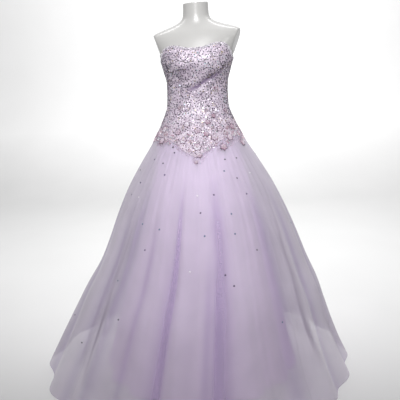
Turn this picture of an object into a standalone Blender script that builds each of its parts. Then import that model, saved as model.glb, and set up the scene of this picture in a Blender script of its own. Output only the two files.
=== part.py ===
"""Strapless evening gown on a limbless dress form: a boned and beaded bodice with a dropped, pointed
seam, a satin lining skirt, two net skirts over it, and lace flowers sewn round the hip.
Metres, +Z up. The front faces -Y, and the origin is the middle of the stand's underside.
An angle round the gown is 0 at the centre front and grows towards +X, the wearer's left."""

import math
from collections import namedtuple

import bmesh
import bpy
from mathutils import Vector

MM = 0.001

# Driving dimensions
WAIST_HEIGHT = 1.180
NECK_TOP_HEIGHT = 1.549
FORM_BOTTOM_HEIGHT = 0.850
HEM_HEIGHT = 4 * MM
SEAM_GAP = 0.3 * MM
BODICE_WALL = 2.5 * MM
FORM_CLEARANCE = 1.2 * MM
LINING_WALL = 1.2 * MM
NET_WALL = 1.0 * MM
APPLIQUE_LIFT = 0.9 * MM
ZIP_WIDTH = 4.0 * MM

Section = namedtuple("Section", "height half_width front back")
LayerRow = namedtuple("LayerRow", "drop under lining")
Edge = namedtuple("Edge", "angle height")
Fold = namedtuple("Fold", "angle spread start depth")
Panel = namedtuple("Panel", "name first last columns")
Flower = namedtuple("Flower", "angle height radius petals turn")

# The dress form's own figure, from its flat underside to the flat top of its neck
FIGURE = [
    Section(FORM_BOTTOM_HEIGHT, 0.146, 0.104, 0.118),
    Section(0.910, 0.156, 0.108, 0.129),
    Section(0.980, 0.155, 0.105, 0.126),
    Section(1.050, 0.141, 0.097, 0.108),
    Section(1.120, 0.1225, 0.090, 0.091),
    Section(WAIST_HEIGHT, 0.1205, 0.088, 0.086),
    Section(1.242, 0.1215, 0.095, 0.091),
    Section(1.288, 0.133, 0.105, 0.097),
    Section(1.316, 0.141, 0.109, 0.099),
    Section(1.340, 0.148, 0.108, 0.100),
    Section(1.365, 0.164, 0.104, 0.099),
    Section(1.391, 0.178, 0.097, 0.096),
    Section(1.415, 0.187, 0.088, 0.091),
    Section(1.437, 0.177, 0.077, 0.083),
    Section(1.452, 0.142, 0.068, 0.075),
    Section(1.464, 0.104, 0.062, 0.069),
    Section(1.476, 0.075, 0.058, 0.064),
    Section(1.490, 0.058, 0.055, 0.060),
    Section(1.508, 0.0525, 0.053, 0.057),
    Section(NECK_TOP_HEIGHT, 0.0510, 0.051, 0.055),
]
FORM_RING_STEP = 0.026
FORM_RING_POINTS = 32

# The hem is arranged a little towards the wearer's right
HEM_SHIFT = 0.038
HEM_SHIFT_TOP = 0.65

# The gown's outer face below the waist, as the outer net skirt hangs between its folds
GOWN_BELOW_WAIST = [
    Section(0.000, 0.652, 0.652, 0.652),
    Section(0.090, 0.609, 0.609, 0.609),
    Section(0.180, 0.571, 0.571, 0.571),
    Section(0.280, 0.532, 0.532, 0.532),
    Section(0.380, 0.494, 0.494, 0.494),
    Section(0.480, 0.446, 0.446, 0.446),
    Section(0.580, 0.406, 0.406, 0.406),
    Section(0.680, 0.367, 0.366, 0.366),
    Section(0.760, 0.332, 0.328, 0.330),
    Section(0.820, 0.302, 0.294, 0.298),
    Section(0.870, 0.273, 0.262, 0.266),
    Section(0.920, 0.242, 0.227, 0.232),
    Section(0.960, 0.216, 0.197, 0.204),
    Section(1.000, 0.191, 0.168, 0.176),
    Section(1.040, 0.169, 0.143, 0.150),
    Section(1.080, 0.1495, 0.121, 0.125),
    Section(1.110, 0.1360, 0.1065, 0.1075),
    Section(1.140, 0.1275, 0.0965, 0.0960),
]
BODICE_OVER_FIGURE = BODICE_WALL + FORM_CLEARANCE
GOWN = GOWN_BELOW_WAIST + [
    Section(
        row.height,
        row.half_width + BODICE_OVER_FIGURE,
        row.front + BODICE_OVER_FIGURE,
        row.back + BODICE_OVER_FIGURE,
    )
    for row in FIGURE
    if WAIST_HEIGHT <= row.height
]

# The two inner skirts as a share of the outer one's radius, by the drop below the hip seam
INNER_LAYERS = [
    LayerRow(0.00, 1.000, 1.00),
    LayerRow(0.03, 0.965, 0.92),
    LayerRow(0.08, 0.910, 0.80),
    LayerRow(0.20, 0.865, 0.69),
    LayerRow(0.40, 0.840, 0.65),
    LayerRow(0.99, 0.830, 0.64),
]
SKIRT_ROW_CROWDING = 2.0
INNER_SEAM_DROP = 0.5 * MM

# Bust cups: two soft domes on the front of the figure and of the bodice
CUP_SIDE = 0.058
CUP_HEIGHT = 1.316
BODICE_CUP_RISE = 0.025
FORM_CUP_RISE = 0.017
CUP_SPREAD_SIDE = 0.050
CUP_SPREAD_UP = 0.046
CUP_VALLEY = 0.38
CUP_FADE_DEPTH = 0.06

# Flat arm plates: planes that cut the figure's shoulders, leaning in below and turned forward
PLATE_SIDE = 0.180
PLATE_HEIGHT = 1.443
PLATE_LEAN = 0.33
PLATE_BOTTOM = 1.357
PLATE_RELEASE = 1.6
PLATE_TURN = math.tan(math.radians(10))

# The form stands with its left shoulder a little high: its sections tilt more and more upwards
TILT_START = 1.13
TILT_RISE = 0.32
TILT = math.tan(math.radians(2.6))
LEAN = 6 * MM

# Edges of the bodice, from centre front to centre back, the same on both sides
NECKLINE = [
    Edge(0, 1.3705),
    Edge(12, 1.374),
    Edge(26, 1.385),
    Edge(36, 1.386),
    Edge(46, 1.378),
    Edge(58, 1.360),
    Edge(74, 1.338),
    Edge(90, 1.328),
    Edge(130, 1.322),
    Edge(180, 1.318),
]
HIP_SEAM = [
    Edge(0, 0.955),
    Edge(12, 0.975),
    Edge(28, 1.005),
    Edge(50, 1.022),
    Edge(90, 1.022),
    Edge(180, 1.010),
]

BODICE_PANELS = [
    Panel("bodice_front", -30, 30, 14),
    Panel("bodice_side_front_left", 30, 90, 12),
    Panel("bodice_back_left", 90, 180, 12),
    Panel("bodice_back_right", -180, -90, 12),
    Panel("bodice_side_front_right", -90, -30, 12),
]
BODICE_ROWS = 12
SKIRT_GORES = [
    Panel("front", -48, 48, 34),
    Panel("left", 48, 144, 32),
    Panel("back", 144, 216, 26),
    Panel("right", 216, 312, 32),
]
NET_ROWS = 7
INNER_ROWS = 5
INNER_COLUMNS_SHARE = 0.62

# Folds: the ridge's place, half its width, the height where it starts, and its depth at the hem
OUTER_FOLDS = [
    Fold(-4, 8, 0.93, 0.028),
    Fold(28, 11, 0.96, 0.026),
    Fold(57, 9, 0.74, 0.026),
    Fold(75, 11, 0.96, 0.022),
    Fold(93, 9, 0.86, 0.024),
    Fold(111, 10, 0.74, 0.024),
    Fold(130, 12, 0.93, 0.028),
    Fold(155, 11, 0.78, 0.026),
    Fold(173, 9, 0.95, 0.028),
    Fold(189, 8, 0.82, 0.024),
    Fold(206, 9, 0.93, 0.028),
    Fold(228, 11, 0.72, 0.026),
    Fold(251, 12, 0.88, 0.022),
    Fold(274, 12, 0.54, 0.036),
    Fold(298, 12, 0.90, 0.026),
    Fold(322, 9, 0.76, 0.026),
    Fold(339, 8, 0.88, 0.024),
]
FOLD_OPENING = 0.8
INNER_FOLD_COUNT = 15
INNER_FOLD_DEPTH = 0.014

# Lace flowers sewn over the hip seam, as placed on the front and, more thinly, on the back
FLOWERS = [
    Flower(2, 0.990, 0.019, 6, 10),
    Flower(4, 0.960, 0.013, 5, 0),
    Flower(1, 0.936, 0.009, 5, 20),
    Flower(-16, 1.014, 0.016, 6, 0),
    Flower(-26, 1.045, 0.014, 5, 15),
    Flower(-14, 1.074, 0.013, 5, 0),
    Flower(2, 1.050, 0.014, 5, 30),
    Flower(14, 1.036, 0.013, 5, 0),
    Flower(4, 1.100, 0.011, 5, 12),
    Flower(18, 1.080, 0.012, 5, 40),
    Flower(30, 1.104, 0.010, 5, 0),
    Flower(24, 1.022, 0.016, 6, 25),
    Flower(35, 1.053, 0.014, 5, 5),
    Flower(33, 0.985, 0.017, 6, 30),
    Flower(61, 1.056, 0.015, 5, 18),
    Flower(47, 1.018, 0.017, 6, 0),
    Flower(68, 0.990, 0.016, 5, 24),
    Flower(-54, 1.054, 0.017, 6, 0),
    Flower(-50, 1.010, 0.017, 6, 8),
    Flower(60, 1.122, 0.009, 5, 14),
    Flower(-78, 1.030, 0.016, 5, 0),
    Flower(88, 1.034, 0.016, 6, 22),
    Flower(-97, 0.998, 0.015, 5, 5),
    Flower(108, 1.000, 0.016, 5, 30),
    Flower(-119, 1.028, 0.016, 6, 10),
    Flower(131, 1.026, 0.016, 5, 0),
    Flower(-143, 1.000, 0.015, 5, 35),
    Flower(153, 0.998, 0.015, 5, 12),
    Flower(-164, 1.020, 0.015, 6, 0),
    Flower(168, 1.024, 0.015, 5, 16),
]
POINTS_PER_PETAL = 3
FLOWER_MIDDLE = 0.55
FLOWER_NOTCH = 0.22
FLOWER_CENTRE_HEIGHT = 3.6 * MM
FLOWER_PETAL_HEIGHTS = (3.2 * MM, 2.0 * MM, 2.0 * MM)
FLOWER_RIM_HEIGHTS = (1.2 * MM, 0.9 * MM, 0.9 * MM)
FLOWER_UNDERSIDE = (0.0, 0.0, 0.0)

# The stand: a turned steel base with a socket, and a pole with a flange under the form
BASE_RADIUS = 0.170
BASE_THICKNESS = 0.012
HUB_RADIUS = 0.030
HUB_TOP = 0.060
POLE_RADIUS = 0.016
POLE_FOOT = 0.016
FLANGE_RADIUS = 0.055
FLANGE_THICKNESS = 0.008
HUB_CHAMFER = 3 * MM
HUB_FILLET = (6 * MM, 4 * MM)
RIM_CHAMFER = (5 * MM, 4 * MM)
BASE_FALL = 1 * MM
FLANGE_CONE = (8 * MM, 30 * MM)
TURNED_STEPS = 32

# Zip: a chain set a little below the bodice's face, and a slider near the top of the centre back,
# whose bridge holds the pull tab's cross-bar
ZIP_TOP_DROP = 4 * MM
ZIP_SINK = 0.7 * MM
SLIDER_HEIGHT = 1.302
SLIDER_SIZE = (7.0 * MM, 2.0 * MM, 10.0 * MM)
SLIDER_LIFT = 0.6 * MM
BRIDGE_WIDTH = 1.4 * MM
BRIDGE_BAR = 0.8 * MM
BRIDGE_RISE = 2.9 * MM
BRIDGE_BITE = 0.2 * MM
BRIDGE_DOWN = 2.6 * MM
BRIDGE_UP = 3.6 * MM
TAB_SIZE = (5.0 * MM, 1.1 * MM, 26.0 * MM)
TAB_SLOT = (3.0 * MM, 4.6 * MM)
TAB_CROSS_BAR = 1.1 * MM

PART_NAME = "evening_gown"
FINISHES = {
    "form_gloss_white": ((0.80, 0.79, 0.77), 0.22, 0.0),
    "stand_steel": ((0.55, 0.55, 0.57), 0.30, 1.0),
    "beaded_lilac": ((0.66, 0.58, 0.68), 0.38, 0.0),
    "lining_satin": ((0.66, 0.56, 0.76), 0.42, 0.0),
    "net_lilac": ((0.70, 0.66, 0.76), 0.80, 0.0),
    "lace_rose": ((0.70, 0.52, 0.60), 0.60, 0.0),
    "zip_metal": ((0.72, 0.68, 0.76), 0.30, 1.0),
}


def clear_scene():
    """Removes what the startup file holds."""
    for old in list(bpy.data.objects):
        bpy.data.objects.remove(old, do_unlink=True)


def material(name):
    """The named finish as a Principled material."""
    found = bpy.data.materials.get(name)
    if found:
        return found
    colour, roughness, metallic = FINISHES[name]
    made = bpy.data.materials.new(name)
    made.use_nodes = True
    shader = made.node_tree.nodes["Principled BSDF"]
    shader.inputs["Base Color"].default_value = (*colour, 1.0)
    shader.inputs["Roughness"].default_value = roughness
    shader.inputs["Metallic"].default_value = metallic
    made.diffuse_color = (*colour, 1.0)
    return made


def collection(name):
    """The named collection, linked to the scene."""
    found = bpy.data.collections.get(name)
    if not found:
        found = bpy.data.collections.new(name)
        bpy.context.scene.collection.children.link(found)
    return found


def add_object(name, mesh, finish, group=PART_NAME):
    """A named object that holds the mesh, in the part's collection."""
    made = bpy.data.objects.new(name, mesh)
    if finish:
        mesh.materials.append(material(finish))
    collection(group).objects.link(made)
    return made


def mesh_from(name, shape):
    """A mesh from a bmesh, which is freed."""
    made = bpy.data.meshes.new(name)
    shape.to_mesh(made)
    shape.free()
    return made


def smooth(mesh, sharp_degrees=40):
    """Shades a mesh smooth, with its sharp edges kept."""
    mesh.shade_smooth()
    mesh.set_sharp_from_angle(angle=math.radians(sharp_degrees))


def eased(share):
    """0 to 1 with a soft start and end."""
    held = min(max(share, 0.0), 1.0)
    return held * held * (3 - 2 * held)


def curve_through(rows, place, key, value):
    """The value at a place, on a smooth curve through a table's rows, which run upwards in key."""
    keys = [getattr(row, key) for row in rows]
    values = [getattr(row, value) for row in rows]
    if place <= keys[0]:
        return values[0]
    if place >= keys[-1]:
        return values[-1]
    index = max(i for i in range(len(keys) - 1) if keys[i] <= place)

    def slope(i):
        low, high = max(i - 1, 0), min(i + 1, len(keys) - 1)
        return (values[high] - values[low]) / (keys[high] - keys[low])

    step = keys[index + 1] - keys[index]
    share = (place - keys[index]) / step
    square, cube = share * share, share * share * share
    return (
        (2 * cube - 3 * square + 1) * values[index]
        + (cube - 2 * square + share) * step * slope(index)
        + (3 * square - 2 * cube) * values[index + 1]
        + (cube - square) * step * slope(index + 1)
    )


def around(angle):
    """An angle in degrees brought between -180 and 180."""
    return (angle + 180) % 360 - 180


def edge_height(edge, angle):
    """The height of the neckline or of the hip seam at an angle, the same on both sides."""
    return curve_through(edge, abs(around(angle)), "angle", "height")


def section_point(rows, angle, height):
    """A point of a body section: an ellipse with its own depth at the front and at the back."""
    turn = math.radians(angle)
    depth = "front" if math.cos(turn) > 0 else "back"
    return Vector(
        (
            curve_through(rows, height, "height", "half_width") * math.sin(turn),
            -curve_through(rows, height, "height", depth) * math.cos(turn),
            height,
        )
    )


def cup_share(side, height):
    """How much of the bust cups' rise a point of the front has."""
    across = abs(side)
    flat_top = math.exp(-((max(across - CUP_SIDE, 0) / CUP_SPREAD_SIDE) ** 2))
    valley = 1 - CUP_VALLEY * max(0.0, 1 - (across / CUP_SIDE) ** 2)
    up = math.exp(-(((height - CUP_HEIGHT) / CUP_SPREAD_UP) ** 2))
    return flat_top * valley * up


def with_cups(point, rise):
    """The point moved out with the cups, on the front only."""
    if point.y < 0 and point.z > WAIST_HEIGHT:
        point.y -= rise * cup_share(point.x, point.z) * eased(-point.y / CUP_FADE_DEPTH)
    return point


def cut_by_plates(point):
    """The point held inside the two arm plates."""
    limit = PLATE_SIDE - (PLATE_HEIGHT - point.z) * PLATE_LEAN + point.y * PLATE_TURN
    limit += max(PLATE_BOTTOM - point.z, 0) * PLATE_RELEASE
    point.x = min(max(point.x, -limit), limit)
    return point


def tilted(point):
    """The point of a section that tilts and leans with the shoulders."""
    share = eased((point.z - TILT_START) / TILT_RISE)
    return Vector((point.x + LEAN * share, point.y, point.z + point.x * TILT * share))


def upright_figure(angle, height, cup_rise):
    """The surface of the figure before it tilts."""
    return cut_by_plates(with_cups(section_point(FIGURE, angle, height), cup_rise))


def figure_surface(angle, height):
    """The dress form's surface."""
    return tilted(upright_figure(angle, height, FORM_CUP_RISE))


def figure_in_cups(angle, height):
    """The figure with the bodice's own cups on it."""
    return upright_figure(angle, height, BODICE_CUP_RISE)


def fold_rise(angle, height):
    """How far the outer skirt's folds stand out."""
    rise = 0.0
    for fold in OUTER_FOLDS:
        away = abs(around(angle - fold.angle))
        if away < fold.spread and height < fold.start:
            ridge = 0.5 + 0.5 * math.cos(math.pi * away / fold.spread)
            rise += fold.depth * ridge * eased((fold.start - height) / fold.start) ** FOLD_OPENING
    return rise


def plain_gown(angle, height):
    """The gown's outer face below the waist, without its folds."""
    point = section_point(GOWN, angle, height)
    point.x -= HEM_SHIFT * eased((HEM_SHIFT_TOP - height) / HEM_SHIFT_TOP)
    return point


def outer_surface(angle, height):
    """The gown's outer face: the bodice, and the outer net skirt below the hip seam."""
    if height > WAIST_HEIGHT:
        return tilted(moved_out(figure_in_cups, angle, height, BODICE_OVER_FIGURE))
    outwards = Vector((math.sin(math.radians(angle)), -math.cos(math.radians(angle)), 0))
    return tilted(plain_gown(angle, height) + outwards * fold_rise(angle, height))


def steps_at(surface, angle, height):
    """The surface's two slopes at a point: for one degree, and for one metre of height."""
    small_turn, small_rise = 0.2, 1 * MM
    along = surface(angle + small_turn, height) - surface(angle - small_turn, height)
    up = surface(angle, height + small_rise) - surface(angle, height - small_rise)
    return along / (2 * small_turn), up / (2 * small_rise)


def moved_out(surface, angle, height, distance):
    """The surface's point, moved out along its normal."""
    along, up = steps_at(surface, angle, height)
    return surface(angle, height) + along.cross(up).normalized() * distance


def inner_surface(layer, inset):
    """The outer face of one of the two skirts inside the outer net: close under it at the hip seam,
    then further in, in even gathers that deepen towards the hem and leave the gores' seams hollow."""

    def surface(angle, height):
        drop = edge_height(HIP_SEAM, angle) - height
        point = moved_out(plain_gown, angle, height, -inset)
        flat = Vector((point.x, point.y, 0))
        gathers = -math.cos(math.radians(angle) * INNER_FOLD_COUNT)
        size = flat.length * curve_through(INNER_LAYERS, drop, "drop", layer)
        size += INNER_FOLD_DEPTH * eased(drop) * gathers
        return flat.normalized() * size + Vector((0, 0, point.z))

    return surface


under_net_surface = inner_surface("under", NET_WALL + SEAM_GAP)
lining_surface = inner_surface("lining", 2 * (NET_WALL + SEAM_GAP))


def half_gap_degrees(surface, angle, height, half_gap):
    """A distance along the surface as an angle."""
    return half_gap / steps_at(surface, angle, height)[0].length


def sheet_grid(columns, rows, point_at):
    """An open grid of faces that face out, with its rows running down."""
    shape = bmesh.new()
    grid = [
        [shape.verts.new(point_at(c / columns, r / rows)) for c in range(columns + 1)]
        for r in range(rows + 1)
    ]
    for r in range(rows):
        for c in range(columns):
            shape.faces.new(
                (grid[r][c], grid[r + 1][c], grid[r + 1][c + 1], grid[r][c + 1])
            )
    return shape


def cloth_wall(name, finish, surface, panel, edges, rows, wall, start=0.0, outwards=False, crowd=1.0):
    """A cloth panel between two angles and two edges. It starts at a distance from the surface and
    gets its thickness from Solidify, inwards or outwards. edges gives its top and bottom heights and
    the half gaps at its two sides, and crowd draws the rows towards its top."""
    top, bottom, first_gap, last_gap = edges

    def point_at(across, share):
        down = share ** crowd
        middle = (panel.first + panel.last) / 2
        level = top(middle) + (bottom(middle) - top(middle)) * down
        first = panel.first + half_gap_degrees(surface, panel.first, level, first_gap)
        last = panel.last - half_gap_degrees(surface, panel.last, level, last_gap)
        angle = first + (last - first) * across
        height = top(angle) + (bottom(angle) - top(angle)) * down
        return moved_out(surface, angle, height, start)

    shape = sheet_grid(panel.columns, rows, point_at)
    made = add_object(name, mesh_from(name, shape), finish)
    smooth(made.data)
    thick = made.modifiers.new("wall", "SOLIDIFY")
    thick.thickness = wall
    thick.offset = 1.0 if outwards else -1.0
    return made


def build_bodice():
    """Five beaded panels over the cups, parted at the seams and, at the centre back, by the zip."""
    half_zip = ZIP_WIDTH / 2 + SEAM_GAP
    for panel in BODICE_PANELS:
        edges = (
            lambda angle: edge_height(NECKLINE, angle),
            lambda angle: edge_height(HIP_SEAM, angle) + SEAM_GAP / 2,
            half_zip if panel.first == -180 else SEAM_GAP / 2,
            half_zip if panel.last == 180 else SEAM_GAP / 2,
        )
        cloth_wall(
            panel.name, "beaded_lilac", outer_surface, panel, edges, BODICE_ROWS,
            BODICE_WALL, -BODICE_WALL, True,
        )


def build_skirts():
    """The satin lining and the two net skirts, each in four gores that hang from the hip seam."""
    layers = (
        ("lining", "lining_satin", lining_surface, INNER_ROWS, LINING_WALL),
        ("net_under", "net_lilac", under_net_surface, INNER_ROWS, NET_WALL),
        ("net_over", "net_lilac", outer_surface, NET_ROWS, NET_WALL),
    )
    for name, finish, surface, rows, wall in layers:
        outermost = name == "net_over"
        share = 1.0 if outermost else INNER_COLUMNS_SHARE
        seam_drop = SEAM_GAP / 2 if outermost else INNER_SEAM_DROP
        for gore in SKIRT_GORES:
            panel = gore._replace(columns=2 * round(gore.columns * share / 2))
            edges = (
                lambda angle, drop=seam_drop: edge_height(HIP_SEAM, angle) - drop,
                lambda angle: HEM_HEIGHT,
                SEAM_GAP / 2,
                SEAM_GAP / 2,
            )
            cloth_wall(
                f"{name}_{gore.name}", finish, surface, panel, edges, rows, wall,
                crowd=SKIRT_ROW_CROWDING,
            )


def loft(name, rings):
    """A closed solid through rings of points, the lowest ring first, with flat ends."""
    shape = bmesh.new()
    made = [[shape.verts.new(point) for point in ring] for ring in rings]
    for low, high in zip(made, made[1:]):
        for i in range(len(low)):
            j = (i + 1) % len(low)
            shape.faces.new((low[i], low[j], high[j], high[i]))
    shape.faces.new(list(reversed(made[0])))
    shape.faces.new(made[-1])
    bmesh.ops.recalc_face_normals(shape, faces=shape.faces)
    return mesh_from(name, shape)


def build_form():
    """The smooth limbless form, with its arm plates and the flat top of its neck."""
    heights = []
    for low, high in zip(FIGURE, FIGURE[1:]):
        steps = math.ceil((high.height - low.height) / FORM_RING_STEP)
        heights += [
            low.height + (high.height - low.height) * step / steps for step in range(steps)
        ]
    heights.append(NECK_TOP_HEIGHT)
    turns = [360 * i / FORM_RING_POINTS for i in range(FORM_RING_POINTS)]
    rings = [[figure_surface(turn, height) for turn in turns] for height in heights]
    made = add_object("dress_form", loft("dress_form", rings), "form_gloss_white")
    smooth(made.data, 50)


def turned(name, profile, finish):
    """A turned solid: a profile of (radius, height) points run through a Screw modifier."""
    shape = bmesh.new()
    points = [shape.verts.new((radius, 0, height)) for radius, height in profile]
    for start, end in zip(points, points[1:]):
        shape.edges.new((start, end))
    made = add_object(name, mesh_from(name, shape), finish)
    screw = made.modifiers.new("turn", "SCREW")
    screw.steps = TURNED_STEPS
    screw.render_steps = TURNED_STEPS
    screw.use_merge_vertices = True
    screw.merge_threshold = 0.00001
    return made


def build_stand():
    """A round base with a socket, and the pole that carries the form."""
    bore = POLE_RADIUS + SEAM_GAP
    floor = POLE_FOOT - SEAM_GAP
    turned(
        "stand_base",
        [
            (0, floor),
            (bore, floor),
            (bore, HUB_TOP),
            (HUB_RADIUS - HUB_CHAMFER, HUB_TOP),
            (HUB_RADIUS, HUB_TOP - HUB_CHAMFER),
            (HUB_RADIUS, BASE_THICKNESS + HUB_FILLET[1]),
            (HUB_RADIUS + HUB_FILLET[0], BASE_THICKNESS),
            (BASE_RADIUS - RIM_CHAMFER[0], BASE_THICKNESS - BASE_FALL),
            (BASE_RADIUS, BASE_THICKNESS - BASE_FALL - RIM_CHAMFER[1]),
            (BASE_RADIUS, 0),
            (0, 0),
        ],
        "stand_steel",
    )
    flange_top = FORM_BOTTOM_HEIGHT - SEAM_GAP
    flange_foot = flange_top - FLANGE_THICKNESS
    turned(
        "stand_pole",
        [
            (0, flange_top),
            (FLANGE_RADIUS, flange_top),
            (FLANGE_RADIUS, flange_foot),
            (POLE_RADIUS + FLANGE_CONE[0], flange_foot),
            (POLE_RADIUS, flange_foot - FLANGE_CONE[1]),
            (POLE_RADIUS, POLE_FOOT),
            (0, POLE_FOOT),
        ],
        "stand_steel",
    )


def build_flower(number, flower):
    """One lace flower: petals raised in its outer points over an inside that follows the cloth."""
    along, up = steps_at(outer_surface, flower.angle, flower.height)
    count = flower.petals * POINTS_PER_PETAL
    shape = bmesh.new()

    def place(share, index, lift):
        turn = math.radians(flower.turn + 360 * index / count)
        notch = FLOWER_NOTCH * (0.5 - 0.5 * math.cos(2 * math.pi * index / POINTS_PER_PETAL))
        reach = flower.radius * share * (1 - notch * share)
        angle = flower.angle + reach * math.cos(turn) / along.length
        height = flower.height + reach * math.sin(turn) / up.length
        return shape.verts.new(moved_out(outer_surface, angle, height, APPLIQUE_LIFT + lift))

    def ring(share, lifts):
        return [place(share, index, lifts[index % POINTS_PER_PETAL]) for index in range(count)]

    under_centre = place(0, 0, 0)
    under_rim = ring(1, FLOWER_UNDERSIDE)
    centre = place(0, 0, FLOWER_CENTRE_HEIGHT)
    petals = ring(FLOWER_MIDDLE, FLOWER_PETAL_HEIGHTS)
    rim = ring(1, FLOWER_RIM_HEIGHTS)
    for i in range(count):
        j = (i + 1) % count
        shape.faces.new((centre, petals[i], petals[j]))
        shape.faces.new((petals[i], rim[i], rim[j], petals[j]))
        shape.faces.new((rim[i], under_rim[i], under_rim[j], rim[j]))
        shape.faces.new((under_rim[i], under_centre, under_rim[j]))
    bmesh.ops.recalc_face_normals(shape, faces=shape.faces)
    name = f"lace_flower_{number:02d}"
    add_object(name, mesh_from(name, shape), "lace_rose")


def box_mesh(name, size, centre):
    """A box by its three sizes and its centre."""
    shape = bmesh.new()
    bmesh.ops.create_cube(shape, size=1.0)
    bmesh.ops.scale(shape, vec=size, verts=shape.verts)
    bmesh.ops.translate(shape, vec=centre, verts=shape.verts)
    return mesh_from(name, shape)


def join_or_cut(target, operation, tools):
    """Boolean modifiers on the target, one for each hidden tool object."""
    for tool in tools:
        tool.hide_render = True
        tool.display_type = "WIRE"
        step = target.modifiers.new(tool.name, "BOOLEAN")
        step.operation = operation
        step.object = tool
        step.solver = "EXACT"


def build_zip():
    """The closed zip: its chain between the back panels, its slider and bridge, and its pull tab."""
    half = ZIP_WIDTH / 2
    chain = Panel("zip_chain", 180, 180, 2)
    edges = (
        lambda angle: edge_height(NECKLINE, angle) - ZIP_TOP_DROP,
        lambda angle: edge_height(HIP_SEAM, angle) + SEAM_GAP / 2,
        -half,
        -half,
    )
    cloth_wall(
        "zip_chain", "zip_metal", outer_surface, chain, edges, BODICE_ROWS,
        BODICE_WALL - ZIP_SINK, -BODICE_WALL, True,
    )

    seat = moved_out(outer_surface, 180, SLIDER_HEIGHT, SLIDER_LIFT + SLIDER_SIZE[1] / 2)
    along, up = steps_at(outer_surface, 180, SLIDER_HEIGHT)
    lean = math.atan2(up.y, up.z)
    helpers = collection("cutters")
    face = SLIDER_SIZE[1] / 2

    def placed(name, mesh, finish=None):
        made = add_object(name, mesh, finish, PART_NAME if finish else helpers.name)
        made.location = seat
        made.rotation_euler = (-lean, 0, 0)
        return made

    slider = placed("zip_slider", box_mesh("zip_slider", SLIDER_SIZE, (0, 0, 0)), "zip_metal")
    foot = face - BRIDGE_BITE
    leg_size = (BRIDGE_WIDTH, BRIDGE_RISE, BRIDGE_BAR)
    legs = []
    for label, z in (("low", BRIDGE_BAR / 2 - BRIDGE_DOWN), ("high", BRIDGE_UP - BRIDGE_BAR / 2)):
        leg = box_mesh("leg", leg_size, (0, foot + BRIDGE_RISE / 2, z))
        legs.append(placed(f"bridge_leg_{label}", leg))
    bar_size = (BRIDGE_WIDTH, BRIDGE_BAR, BRIDGE_UP + BRIDGE_DOWN)
    bar_centre = (0, foot + BRIDGE_RISE - BRIDGE_BAR / 2, (BRIDGE_UP - BRIDGE_DOWN) / 2)
    top = placed("bridge_bar", box_mesh("bar", bar_size, bar_centre))
    join_or_cut(slider, "UNION", [*legs, top])

    reach = face + (BRIDGE_RISE - BRIDGE_BAR - BRIDGE_BITE) / 2
    offset = Vector((0, reach, 0))
    tab_mesh = box_mesh(
        "zip_pull_tab", TAB_SIZE, (0, 0, TAB_CROSS_BAR / 2 - TAB_SIZE[2] / 2)
    )
    tab = placed("zip_pull_tab", tab_mesh, "zip_metal")
    slot_mesh = box_mesh(
        "slot",
        (TAB_SLOT[0], TAB_SIZE[1] * 3, TAB_SLOT[1]),
        (0, 0, -TAB_CROSS_BAR / 2 - TAB_SLOT[1] / 2),
    )
    slot = placed("pull_tab_slot", slot_mesh)
    for piece in (tab, slot):
        piece.location = seat + piece.rotation_euler.to_matrix() @ offset
    join_or_cut(tab, "DIFFERENCE", [slot])


clear_scene()
build_form()
build_stand()
build_bodice()
build_skirts()
for flower_number, flower_row in enumerate(FLOWERS, 1):
    build_flower(flower_number, flower_row)
build_zip()
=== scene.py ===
"""An evening gown on a dress form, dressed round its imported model.
Metres, +Z up. The front faces -Y, and an angle round the gown is 0 at the centre front and grows
towards +X, the wearer's left."""

import math
from collections import namedtuple

import bmesh
import bpy
import numpy as np
from mathutils import Matrix, Vector


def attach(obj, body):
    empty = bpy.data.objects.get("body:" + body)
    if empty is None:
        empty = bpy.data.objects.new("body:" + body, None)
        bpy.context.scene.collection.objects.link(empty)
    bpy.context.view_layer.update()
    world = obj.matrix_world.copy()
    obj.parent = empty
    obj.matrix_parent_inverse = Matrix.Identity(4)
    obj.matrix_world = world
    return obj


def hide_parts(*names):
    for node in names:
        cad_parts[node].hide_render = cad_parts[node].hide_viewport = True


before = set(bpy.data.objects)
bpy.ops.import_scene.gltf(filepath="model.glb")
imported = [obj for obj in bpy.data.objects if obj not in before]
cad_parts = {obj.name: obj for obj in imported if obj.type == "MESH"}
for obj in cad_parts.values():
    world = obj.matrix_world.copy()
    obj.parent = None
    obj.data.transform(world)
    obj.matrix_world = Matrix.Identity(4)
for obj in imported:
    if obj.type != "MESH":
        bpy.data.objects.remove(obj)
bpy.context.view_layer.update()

# The setting is no part of the gown: a plain pale floor that bends up into a backdrop, a soft
# light beside the camera, a wide one overhead, and the camera where the photograph was taken.
MM = 0.001
CAMERA_DISTANCE = 2.528
CAMERA_HEIGHT = 1.30
CAMERA_TURN = math.radians(5.0)
CAMERA_DOWN = math.radians(12.55)
CAMERA_ROLL = math.radians(2.2)
LENS_MM = 54.0
SENSOR_MM = 36.0
SHIFT_LEFT = 0.00375
FLOOR_HALF_WIDTH = 7.0
FLOOR_FRONT = -7.0
FLOOR_BACK = 3.2
FLOOR_SHADE = 0.72
FLOOR_SHADE_TOP = 0.6
BACKDROP_RADIUS = 1.6
BACKDROP_TOP = 6.0
BEND_STEPS = 12
WORLD_LIGHT = 0.36


def wire(tree, node, inputs):
    """Sets a node's inputs, by name or number, to values or to the outputs of other nodes."""
    for socket, value in inputs.items():
        if isinstance(value, bpy.types.NodeSocket):
            tree.links.new(value, node.inputs[socket])
        else:
            node.inputs[socket].default_value = value


def add_node(tree, kind, inputs, settings):
    """A new node in a tree, with its settings and then its inputs."""
    node = tree.nodes.new(kind)
    for key, value in settings.items():
        setattr(node, key, value)
    wire(tree, node, inputs)
    return node


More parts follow.
